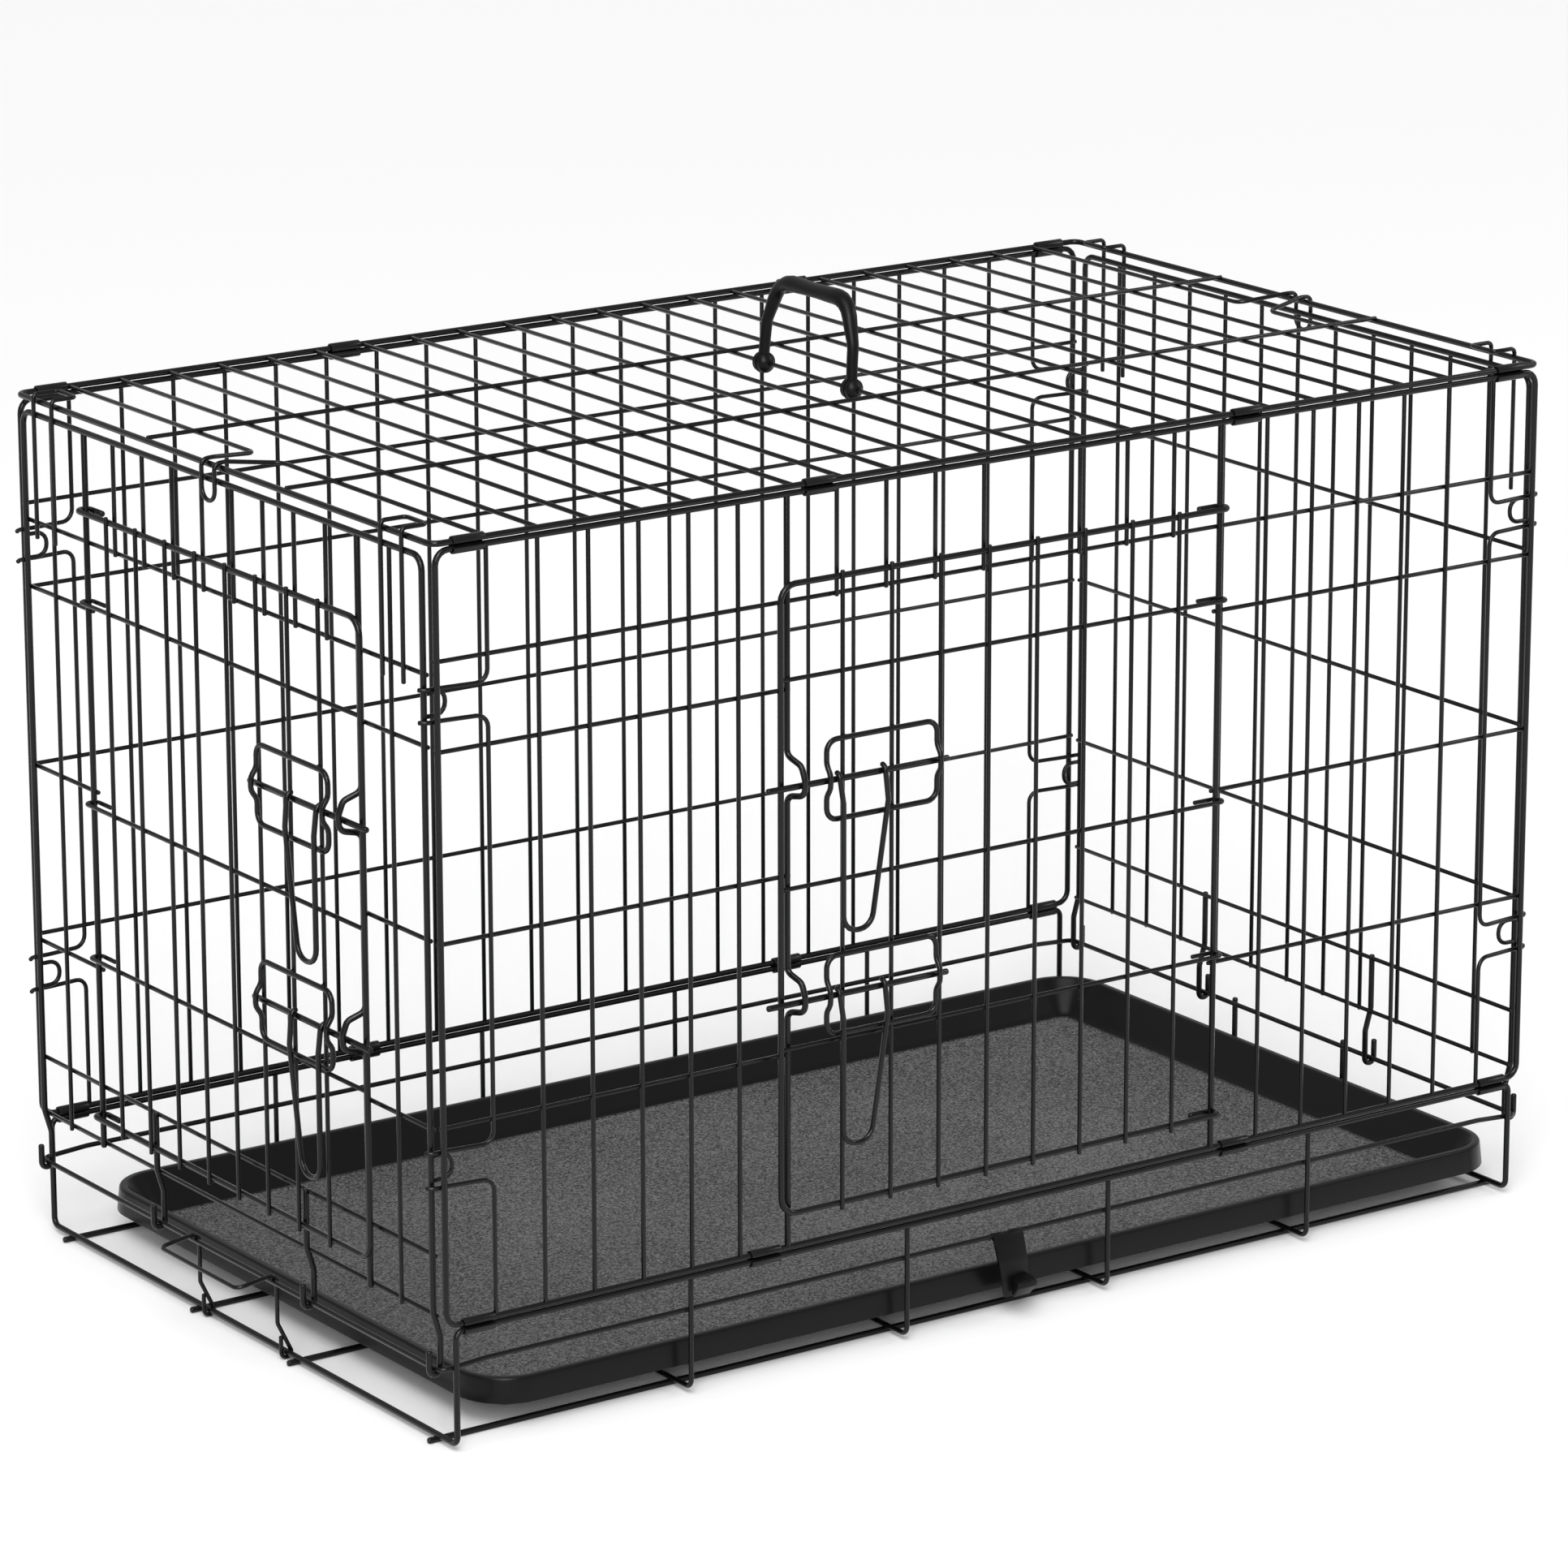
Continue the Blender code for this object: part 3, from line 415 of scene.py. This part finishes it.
def endPanel(name, node, side, doorway, body):
    def at(y, z, out=0.0):
        return (side * (endX + out), y, z)

    half, top = ends["span"] / 2, crate["height"] - ends["drop"]
    hookIn = endRailX - endX - frameWire - crate["baseWire"] - crateGap
    hookRadius = crate["baseWire"] + frameWire + crateGap

    def hook(y, zTop):
        rail = (side * endRailX, y, base["endRail"])
        wrap = arc(rail, hookRadius, 180, 360, ((side, 0, 0), (0, 0, 1)))
        return [at(y, zTop), at(y, 76.0), at(y, 62.0, hookIn)] + wrap + [
            at(y, base["endRail"] + ends["hookTip"], endRailX - endX + hookRadius)]

    outline = bent(hook(-half, 90.0)[:0:-1] + [at(-half, top), at(half, top)] + hook(half, 90.0)[1:], 8.0)
    runs = [(outline, frameWire, False)]
    runs += [(bent(hook(y, 110.5), 5.0), frameWire, False) for y in (-ends["feet"], ends["feet"])]
    over, clear = topZ + frameWire + gridWire + crateGap + 1.2, 0.68 * (frameWire + gridWire)
    for s in (-1, 1):
        a, b = (s * t for t in ends["tabs"])
        low, tip = ends["tabLow"], -ends["tabTip"]
        runs.append((bent([at(a, low, clear), at(a, over, clear), at(a, over, tip), at(b, over, tip),
                           at(b, over, clear), at(b, low, clear)], 3.0), gridWire, False))
        for z in sides["slotHeights"]:
            y, deep = s * (half + 0.5), -ends["loop"]
            runs.append((bent([at(y, z + 7), at(y, z + 7, deep), at(y, z - 7, deep), at(y, z - 7)], 6.9),
                         gridWire, False))
    edges, heads = (-half - rowEnd, half + rowEnd), []
    spans, foot = [edges], ends["foot"]
    levels = [ends["lowRow"], *ends["levels"]]
    if doorway:
        latchY, hingeY = doorway
        fullHeight = [s * (half - 32.5) for s in (-1, 1)]
        heads = spread(latchY, hingeY, doorBays)[1:-1]
        runs += [(keeperPost(latchY, foot, top, at), frameWire, False),
                 ([at(hingeY, foot), at(hingeY, top)], frameWire, False)]
        spans = [(edges[0], latchY + rowLap), (hingeY - rowLap, edges[1])]
        levels.append(ends["header"])
    else:
        fullHeight = spread(-half, half, ends["bays"])[1:-1]
    runs += [([at(y, foot), at(y, top)], gridWire, False) for y in fullHeight]
    runs += [([at(y, ends["header"] - 1.5), at(y, top)], gridWire, False) for y in heads]
    beads = []
    for z in levels:
        whole = z in (ends["lowRow"], ends["levels"][0], ends["header"])
        for a, b in ([edges] if whole else spans):
            runs.append(([at(a, z, -gridIn), at(b, z, -gridIn)], gridWire, False))
            crossed = fullHeight + (heads if z == ends["header"] else [])
            beads += [(at(y, z, -gridIn / 2), (side, 0, 0)) for y in crossed if a < y < b]
    bm = wireWork(runs)
    addBeads(bm, beads, 1.6)
    return finished(bm, name, [node], body, panelCoat)


top = {"end": crate["length"] / 2 + 1.9, "wires": 22, "endIn": 32.5, "longs": 75.0, "fingerHalf": 7.0,
       "fingerDrop": 19.0}


def topPanel():
    half, end, reach = crate["length"] / 2 - top["endIn"], top["end"], railY - frameWire / 2
    outer = bent([(-end, -railY, topZ), (end, -railY, topZ), (end, railY, topZ), (-end, railY, topZ)], 6.0, True)
    runs, beads = [(outer, frameWire, True)], []
    ride = topZ + 0.68 * 2 * gridWire
    for x in spread(-half, half, top["wires"] - 1)[1:-1]:
        runs.append(([(x, -reach, topZ), (x, reach, topZ)], gridWire, False))
        beads += [((x, s * top["longs"], (topZ + ride) / 2), (0, 0, 1)) for s in (-1, 1)]
    hang, w = endX + frameWire + gridWire + 0.4, top["fingerHalf"]
    for s in (-1, 1):
        run = [(s * half, -reach, topZ), (s * half, -15, topZ), (s * (end - 3), -w, topZ + 3.4),
               (s * hang, -w, topZ + 3.0), (s * hang, -w, topZ - top["fingerDrop"]),
               (s * hang, w, topZ - top["fingerDrop"]), (s * hang, w, topZ + 3.0),
               (s * (end - 3), w, topZ + 3.4), (s * half, 15, topZ), (s * half, reach, topZ)]
        runs.append((bent(run, 6.8), gridWire, False))
        runs.append(([(-end, s * top["longs"], ride), (end, s * top["longs"], ride)], gridWire, False))
    bm = wireWork(runs)
    addBeads(bm, beads, 1.6)
    return finished(bm, "topPanelWires", ["top_panel"], "crate_frame", panelCoat)


doors = {"frontSpan": (-155.0, 147.0), "endSpan": (-150.5, 145.0), "low": 91.0, "high": 455.0, "lap": 7.0,
         "bend": 10.0, "tail": 13.0}


def doorPanel(name, node, at, span, body):
    latchS, hingeS = span
    low, high = doors["low"], doors["high"]
    ring = arc((0, 0, 0), doorOut, 90, -100, ((1, 0, 0), (0, 1, 0)), 12)

    def curl(z):
        return [at(hingeS + p.x, z, p.y) for p in ring] + [at(hingeS - doors["tail"], z, ring[-1].y)]

    free = latchS - doors["lap"]
    border = bent([at(hingeS - 2, high, doorOut), at(free, high, doorOut), at(free, low, doorOut),
                   at(hingeS - 2, low, doorOut)], doors["bend"])
    runs = [(curl(high)[::-1] + border + curl(low), frameWire, False)]
    levels = (low + 97, low + 190, high - 54)
    runs += [([at(free, z, doorOut)] + curl(z), gridWire, False) for z in levels]
    bars = spread(latchS, hingeS, doorBays)[1:-1]
    runs += [([at(s, low - 4, doorGrid), at(s, high + 3.5, doorGrid)], gridWire, False) for s in bars]
    outward = (Vector(at(0, 0, 1)) - Vector(at(0, 0, 0))).normalized()
    beads = [(at(s, z, (doorOut + doorGrid) / 2), outward) for s in bars for z in (low, *levels, high)]
    bm = wireWork(runs)
    addBeads(bm, beads, 1.6)
    return finished(bm, name, [node], body, doorCoat)


latch = {"span": (20.5, 96.0), "half": 23.0, "bolt": (-20.0, 104.0), "legs": (27.0, 58.0), "pull": 88.0}


# The kinked frame on the door, the bolt through it and the long pull that hangs from the bolt.
def slideLatch(label, cad, at, post, z, doorBody):
    out, high, wire, half = latchOut, latchHigh, latchSizes["wire"], latch["half"]

    def kinked(s):
        return [at(s, z - half, out), at(s, z - 9, out), at(s, z - 4, high), at(s, z + 4, high),
                at(s, z + 9, out), at(s, z + half, out)]

    start, end = (post + s for s in latch["span"])
    loop = bent(kinked(start) + kinked(end)[::-1], 7.0, True)
    outward = (Vector(at(0, 0, 1)) - Vector(at(0, 0, 0))).normalized()
    rim = wireWork([(loop, wire, True)])
    doorway = doors["frontSpan" if doorBody == "front_door" else "endSpan"]
    bars = [s for s in spread(*doorway, doorBays)[1:-1] if start + 2 < s < end - 2]
    addBeads(rim, [(at(s, z + q, (out + doorGrid) / 2), outward) for s in bars for q in (-half, half)], 1.7)
    finished(rim, label + "Frame", [cad + "_frame"], doorBody, latchCoat)
    bolt = wireWork([([at(post + s, z, boltOut) for s in latch["bolt"]], latchSizes["boltWire"], False)])
    finished(bolt, label + "Bolt", [cad + "_bolt"], cad + "_bolt", latchCoat)
    eye = latchSizes["boltWire"] + wire + crateGap
    near, far = (post + s for s in latch["legs"])
    hooks = [[at(s, z + q.y, boltOut + q.x) for q in arc((0, 0, 0), eye, 95, 0, ((1, 0, 0), (0, 1, 0)), 6)]
             for s in (near, far)]
    low = z - latch["pull"]
    drop = bent([at(near + 2, z - 14, pullOut), at(near + 2, low, pullOut), at(far - 10, low, pullOut),
                 at(far + 1.5, z - 16, pullOut)], 9.3)
    pull = wireWork([(hooks[0] + drop + hooks[1][::-1], wire, False)])
    finished(pull, label + "Pull", [cad + "_pull"], cad + "_pull", latchCoat)


def onFront(s, z, out=0.0):
    return (s, -railY - out, z)


def onEnd(s, z, out=0.0):
    return (-endX - out, s, z)


baseFrame()
longPanel("frontPanelWires", "front_panel", -1, doors["frontSpan"])
longPanel("backPanelWires", "back_panel", 1, None)
endPanel("leftEndWires", "left_end_panel", -1, doors["endSpan"], "left_end")
endPanel("rightEndWires", "right_end_panel", 1, None, "right_end")
topPanel()
print("panels made")
doorPanel("frontDoorWires", "front_door", onFront, doors["frontSpan"], "front_door")
doorPanel("endDoorWires", "end_door", onEnd, doors["endSpan"], "end_door")
for label, wall, span in (("front", onFront, doors["frontSpan"]), ("end", onEnd, doors["endSpan"])):
    for level, z in zip(("Upper", "Lower"), latchSizes["heights"]):
        slideLatch(label + level, f"{label}_{level.lower()}", wall, span[0], z, label + "_door")
print("doors and latches made")


sleeve = {"length": 20.0, "wall": 0.9, "corner": 361.6,
          "middles": {("front", "top"): (-133.5, 165.0), ("front", "low"): (-171.0, 164.0),
                      ("back", "top"): (-162.5, 162.5), ("back", "low"): (-157.5, 157.5)}}


# A profile drawn across X, run from start to end and given its sheet thickness.
def sheetStrip(profile, start, end, thickness, bevelWidth=0.25):
    bm = bmesh.new()
    points = [bm.verts.new(spot(start, y, z)) for y, z in profile]
    line = [bm.edges.new(pair) for pair in zip(points, points[1:])]
    grown = bmesh.ops.extrude_edge_only(bm, edges=line)["geom"]
    bmesh.ops.translate(bm, verts=[v for v in grown if isinstance(v, bmesh.types.BMVert)],
                        vec=((end - start) * 0.001, 0, 0))
    bmesh.ops.solidify(bm, geom=bm.faces[:], thickness=thickness * 0.001)
    bmesh.ops.recalc_face_normals(bm, faces=bm.faces)
    rims = [e for e in bm.edges if len(e.link_faces) == 2 and e.calc_face_angle(0) > 1.2]
    bmesh.ops.bevel(bm, geom=rims, offset=bevelWidth * 0.001, offset_type="OFFSET", affect="EDGES", segments=2,
                    profile=0.5, material=-1)
    return bm


def hingeSleeve(name, node, x, side, zMid):
    half, bore = frameWire + crateGap / 2, frameWire + crateGap
    middle = side * railY

    def lobe(start, end, centre, steps):
        return [(middle + bore * math.cos(t), zMid + centre + bore * math.sin(t)) for t in (
            math.radians(start + (end - start) * k / steps) for k in range(steps + 1))]

    seamY, seamHalf = middle - side * (bore - 0.05), 0.5
    above, below = (seamY, zMid + seamHalf), (seamY, zMid - seamHalf)
    if side < 0:
        profile = [above] + lobe(180, 0, half, 10) + lobe(0, -180, -half, 10) + [below]
    else:
        profile = [below] + lobe(-180, 0, -half, 10) + lobe(0, 180, half, 10) + [above]
    long = sleeve["length"] / 2
    bm = sheetStrip(profile, x - long, x + long, sleeve["wall"] if side > 0 else -sleeve["wall"])
    return finished(bm, name, [node], "crate_frame", clipSteel, 30.0)


for label, side in (("front", -1), ("back", 1)):
    for level, zMid in (("top", crate["height"] + frameWire + crateGap / 2),
                        ("low", base["rise"] + frameWire + crateGap / 2)):
        for k, x in enumerate((-sleeve["corner"], *sleeve["middles"][label, level], sleeve["corner"])):
            hingeSleeve(f"{label}{level.title()}Sleeve{k + 1}", f"hinge_clip_{label}_{level}_{k + 1}", x, side, zMid)
print("hinge sleeves made")


tray = {"length": 732.0, "depth": 432.0, "high": 24.0, "wall": 2.0, "slope": 18.5, "rim": 3.6, "skirt": 15.0,
        "corner": 32.0, "lean": 1.5, "edge": 0.9, "footRound": 5.0}


# A formed pan: sloping walls, a narrow rim and a skirt that hangs clear of the floor wires.
def dropInTray():
    high, wall, corner = tray["high"], tray["wall"], tray["corner"]
    middle = spot(trayPushed * 1000, 0, 0)
    across = Vector((tray["length"] / 2 - corner, tray["depth"] / 2 - corner)) * 0.001  # to the corner arcs' middles
    bm = bmesh.new()
    bmesh.ops.create_grid(bm, x_segments=1, y_segments=1, size=0.5, matrix=Matrix.Translation(middle)
                          @ Matrix.Diagonal((tray["length"] * 0.001, tray["depth"] * 0.001, 1.0, 1.0)))
    bmesh.ops.bevel(bm, geom=bm.verts[:], offset=corner * 0.001, offset_type="OFFSET", affect="VERTICES", segments=10,
                    profile=0.5, material=-1)
    bmesh.ops.delete(bm, geom=bm.faces[:], context="FACES_ONLY")

    def inset(verts, by, z):  # the outline drawn in evenly and set at a height
        for v in verts:
            dx, dy = v.co.x - middle.x, v.co.y - middle.y
            hub = Vector((math.copysign(across.x, dx), math.copysign(across.y, dy)))
            ray = (Vector((dx, dy)) - hub).normalized() * (corner - by) * 0.001
            v.co = (middle.x + hub.x + ray.x, middle.y + hub.y + ray.y, spot(0, 0, floorGap * 1000 + z).z)

    lean, edge, skin = tray["lean"], tray["edge"], 0.9 * wall
    inner, fall = lean + edge + tray["rim"], tray["slope"] / (high - wall)
    through = wall * math.hypot(1.0, fall)
    stations = [(inner + fall * high - through, 0.0), (inner + fall * wall - through, high - wall),
                (lean + skin, high - wall), (skin + 0.2, high - tray["skirt"]), (0.0, high - tray["skirt"]),
                (lean, high - edge - 0.2), (lean + edge, high), (inner, high), (inner + tray["slope"], wall)]
    loops, verts, edges = [], bm.verts[:], bm.edges[:]
    for k in range(len(stations)):
        if k:
            grown = bmesh.ops.extrude_edge_only(bm, edges=edges)["geom"]
            verts = [v for v in grown if isinstance(v, bmesh.types.BMVert)]
            edges = [e for e in grown if isinstance(e, bmesh.types.BMEdge) and set(e.verts) <= set(verts)]
        loops.append((verts, edges))
    for (by, z), (verts, _) in zip(stations, loops):
        inset(verts, by, z)
    for _, rim in (loops[0], loops[-1]):  # the underside and the floor
        bmesh.ops.contextual_create(bm, geom=rim)
    bmesh.ops.recalc_face_normals(bm, faces=bm.faces)
    for k, radius, steps in ((8, tray["footRound"], 5), (7, 0.8, 3), (6, 0.5, 2), (5, 0.5, 2), (4, 0.5, 2)):
        crease = [e for e in loops[k][1] if e.is_valid]
        bmesh.ops.bevel(bm, geom=crease, offset=radius * 0.001, offset_type="OFFSET", affect="EDGES", segments=steps,
                        profile=0.5, material=-1, clamp_overlap=True)
    return finished(bm, "trayShell", ["tray"], "crate_frame", trayFinish, 32.0)


dropInTray()

gate = {"wire": 1.25, "flap": 26.0, "drop": 4.0, "half": 43.0, "bend": 4.5}


# Bent wire stop: turns on the floor's end wire and laps over the end rail.
def trayGate():
    wire, start = gate["wire"], -base["length"] / 2
    turn, lean = frameWire + wire + crateGap, -endRailX + crate["baseWire"] + wire + crateGap
    over = base["endRail"] + crate["baseWire"] + wire + crateGap + 1.0
    runs = []
    for s in (-1, 1):
        y = s * gate["half"]
        hook = arc((start, y, 0), turn, 180, 360, ((1, 0, 0), (0, 0, 1)))
        runs.append([(start - turn, y, 10.0)] + hook + [
            (lean, y, 18.0), (lean, y, over), (lean - gate["flap"], y, over - gate["drop"])])
    bm = wireWork([(bent(runs[0] + runs[1][::-1], gate["bend"]), wire, False)])
    return finished(bm, "trayGateWire", ["tray_gate"], "tray_gate", latchCoat)


trayGate()

railClip = {"half": 11.0, "barrel": 2.0, "drop": 38.0, "tab": (-2.0, 12.0), "ribs": 6}


# Moulded catch on the front mid rail: a split barrel, a bowed strap that narrows, and a ribbed thumb tab.
def thumbClip():
    y0, z0, half, drop = -midY, base["midRail"], railClip["half"], railClip["drop"]
    bore = crate["baseWire"] + crateGap
    grip = [(y0 + bore * math.cos(t), z0 + bore * math.sin(t)) for t in (math.radians(a) for a in range(-70, 216, 15))]
    shells = [sheetStrip(grip, start, end, -railClip["barrel"], 0.5) for start, end in ((-half, -2.2), (1.6, half))]
    bow = bent([(0, y0 - 2.6, z0 + 0.8), (0, y0 - 4.6, z0 - 5), (0, y0 - 7.4, z0 - 15), (0, y0 - 7.4, z0 - 26),
                (0, y0 - 4.9, z0 - drop + 0.5)], 14.0)
    strap = sheetStrip([(p.y, p.z) for p in bow], -half + 0.5, half - 0.5, -2.0, 0.5)
    for v in strap.verts:  # the strap narrows on its left edge
        down = min(1.0, max(0.0, (spot(0, 0, z0 - 4).z - v.co.z) / 0.032))
        if v.co.x < crateOrigin.x:
            v.co.x += 0.0065 * down * down
    thumb = bmesh.new()
    left, right = railClip["tab"]
    outline = [(y0 - 7.2, z0 - 23.8), (y0 - 15.0, z0 - 26.2), (y0 - 15.0, z0 - 29.6), (y0 - 9.4, z0 - 36.2),
               (y0 - 6.9, z0 - 36.4)]
    start = [thumb.verts.new(spot(left, y, z)) for y, z in outline]
    face = thumb.faces.new(start)
    grown = bmesh.ops.extrude_face_region(thumb, geom=[face])["geom"]
    bmesh.ops.translate(thumb, verts=[v for v in grown if isinstance(v, bmesh.types.BMVert)],
                        vec=((right - left) * 0.001, 0, 0))
    bmesh.ops.recalc_face_normals(thumb, faces=thumb.faces)
    for v in thumb.verts:  # the tab is wider at its outer edge
        if v.co.y > spot(0, y0 - 9.6, 0).y:
            v.co.x += math.copysign(0.0012, crateOrigin.x + 0.005 - v.co.x)
    bmesh.ops.bevel(thumb, geom=thumb.edges[:], offset=0.0008, offset_type="OFFSET", affect="EDGES", segments=3,
                    profile=0.5, material=-1, clamp_overlap=True)
    slope = Matrix.Rotation(math.atan2(2.4, 7.8), 4, "X")
    for k in range(railClip["ribs"]):  # fine ribs along the tab's top
        share = (k + 0.9) / (railClip["ribs"] + 0.8)
        bmesh.ops.create_cube(thumb, size=1.0, matrix=Matrix.Translation(
            spot((left + right) / 2, y0 - 7.4 - 7.6 * share, z0 - 23.75 - 2.4 * share)) @ slope
            @ Matrix.Diagonal(((right - left - 2.6) * 0.001, 0.0006, 0.0009, 1.0)))
    bm = bmesh.new()
    for shell in (*shells, strap, thumb):
        held = bpy.data.meshes.new("held")
        shell.to_mesh(held)
        shell.free()
        bm.from_mesh(held)
        bpy.data.meshes.remove(held)
    return finished(bm, "railClipMoulding", ["rail_clip"], "rail_clip", plasticFinish, 35.0)


thumbClip()

handle = {"span": 89.0, "rise": 50.0, "lean": 5.0, "foot": 6.3, "ribs": 3,
          "sections": ((0.0, 3.3, 3.3), (0.12, 3.5, 3.2), (0.26, 4.6, 4.0), (0.36, 5.6, 4.6), (0.5, 5.8, 4.0),
                       (0.64, 5.6, 4.6), (0.74, 4.6, 4.0), (0.88, 3.5, 3.2), (1.0, 3.3, 3.3))}


# A C-shaped moulded grip, thick at its shoulders, on two ribbed ball feet.
def carryHandle():
    x = (crate["length"] / 2 - top["endIn"]) / (top["wires"] - 1)
    side, rise = handle["span"] / 2, handle["rise"]
    spine = bent([(x, -side, topZ + 3.0), (x, -side + 1, topZ + 25), (x, -side + 11, topZ + rise),
                  (x, side - 11, topZ + rise), (x, side - 1, topZ + 25), (x, side, topZ + 3.0)], 15.0)
    fine = [spine[0]]
    for a, b in zip(spine, spine[1:]):  # even steps along the spine
        steps = max(1, round((b - a).length / 3.0))
        fine += [a.lerp(b, k / steps) for k in range(1, steps + 1)]
    lengths = [0.0]
    for a, b in zip(fine, fine[1:]):
        lengths.append(lengths[-1] + (b - a).length)
    bm, rings = bmesh.new(), []
    for i, p in enumerate(fine):
        share = lengths[i] / lengths[-1]
        table, b = handle["sections"], 1
        while table[b][0] < share - 1e-9:
            b += 1
        a = b - 1
        mixed = (share - table[a][0]) / (table[b][0] - table[a][0])
        mixed = mixed * mixed * (3 - 2 * mixed)
        wide, thick = (table[a][k] + (table[b][k] - table[a][k]) * mixed for k in (1, 2))
        along = (fine[min(i + 1, len(fine) - 1)] - fine[max(i - 1, 0)]).normalized()
        across = Vector((1, 0, 0))
        turn = Matrix((across, along.cross(across), along)).transposed().to_4x4()
        ring = bmesh.ops.create_circle(bm, segments=20, radius=0.001, cap_ends=False, matrix=Matrix.Translation(
            spot(*p)) @ turn @ Matrix.Diagonal((wide, thick, 1.0, 1.0)))["verts"]
        rings.append([e for e in {e for v in ring for e in v.link_edges}])
    for a, b in zip(rings, rings[1:]):
        bmesh.ops.bridge_loops(bm, edges=a + b)
    bmesh.ops.holes_fill(bm, edges=rings[0] + rings[-1], sides=20)
    lift = spot(0, 0, topZ).z
    for v in bm.verts:  # the grip leans over a little
        v.co.x += handle["lean"] * 0.001 * max(0.0, (v.co.z - lift) / (rise * 0.001)) ** 1.5
    for s in (-1, 1):
        centre = Matrix.Translation(spot(x, s * side, topZ))
        bmesh.ops.create_uvsphere(bm, u_segments=24, v_segments=14, radius=handle["foot"] * 0.001, matrix=centre)
        for k in range(handle["ribs"]):
            lean = Matrix.Rotation(math.radians(90), 4, "X")
            offset = Matrix.Translation((0, (k - 1) * 0.0027, 0))
            size = math.sqrt(handle["foot"] ** 2 - ((k - 1) * 2.7) ** 2) + 0.35
            bmesh.ops.create_cone(bm, cap_ends=True, segments=24, radius1=size * 0.001, radius2=size * 0.001,
                                  depth=0.0009, matrix=centre @ offset @ lean)
    bmesh.ops.recalc_face_normals(bm, faces=bm.faces)
    return finished(bm, "carryHandleMoulding", ["carry_handle"], "carry_handle",
                    plasticFinish, 50.0)


carryHandle()
print("tray, gate, clip and handle made")


studio = {"floor": (0.90, 0.90, 0.90), "floorShade": (0.885, 0.885, 0.885), "world": 0.52,
          "suns": (("highSun", (0.42, 0.34, -1.0), 1.15, 40.0), ("lowSun", (0.62, 0.84, -0.5), 1.5, 34.0)),
          "lamps": (("keyLight", (-1.6, -2.2, 2.6), 1.0, 34.0), ("sideLight", (2.6, -1.2, 1.8), 0.8, 12.0))}
floorMesh = bmesh.new()
bmesh.ops.create_grid(floorMesh, x_segments=1, y_segments=1, size=12.0)
floorSheet = bpy.data.meshes.new("studioFloor")
floorMesh.to_mesh(floorSheet)
floorMesh.free()
floorFinish = Finish("studioFloor")
floorTone = floorFinish.mix(floorFinish.noise(0.6), studio["floorShade"], studio["floor"])
floorFinish.feed(colour=floorTone, roughness=0.9)
floorSheet.materials.append(floorFinish.made)
studioFloor = bpy.data.objects.new("studioFloor", floorSheet)
bpy.context.scene.collection.objects.link(studioFloor)

world = bpy.data.worlds.new("studioLight")
world.use_nodes = True
world.node_tree.nodes["Background"].inputs[0].default_value = (1.0, 1.0, 1.0, 1.0)
world.node_tree.nodes["Background"].inputs[1].default_value = studio["world"]
bpy.context.scene.world = world

for sunName, towards, strength, softness in studio["suns"]:
    sun = bpy.data.lights.new(sunName, "SUN")
    sun.energy, sun.angle = strength, math.radians(softness)
    sunHolder = bpy.data.objects.new(sunName, sun)
    sunHolder.rotation_euler = Vector(towards).to_track_quat("-Z", "Y").to_euler()
    bpy.context.scene.collection.objects.link(sunHolder)

for lampName, spotAt, size, power in studio["lamps"]:
    lamp = bpy.data.lights.new(lampName, "AREA")
    lamp.size, lamp.energy = size, power
    holder = bpy.data.objects.new(lampName, lamp)
    holder.location = spotAt
    holder.rotation_euler = (Vector((0, 0, 0.25)) - Vector(spotAt)).to_track_quat("-Z", "Y").to_euler()
    bpy.context.scene.collection.objects.link(holder)

bpy.context.scene.view_settings.view_transform = "Standard"
view = {"place": (-2.3132, -3.3137, 1.4105), "yaw": 34.965, "pitch": 15.747, "roll": 0.091, "lens": 163.28}
lens = bpy.data.cameras.new("studioCamera")
lens.sensor_width, lens.lens, lens.clip_start, lens.clip_end = 36.0, view["lens"], 0.05, 60.0
camera = bpy.data.objects.new("studioCamera", lens)
camera.location = view["place"]
camera.rotation_euler = (Matrix.Rotation(math.radians(-view["yaw"]), 3, "Z")
                         @ Matrix.Rotation(math.radians(90 - view["pitch"]), 3, "X")
                         @ Matrix.Rotation(math.radians(-view["roll"]), 3, "Z")).to_euler()
bpy.context.scene.collection.objects.link(camera)
bpy.context.scene.camera = camera

print("done")
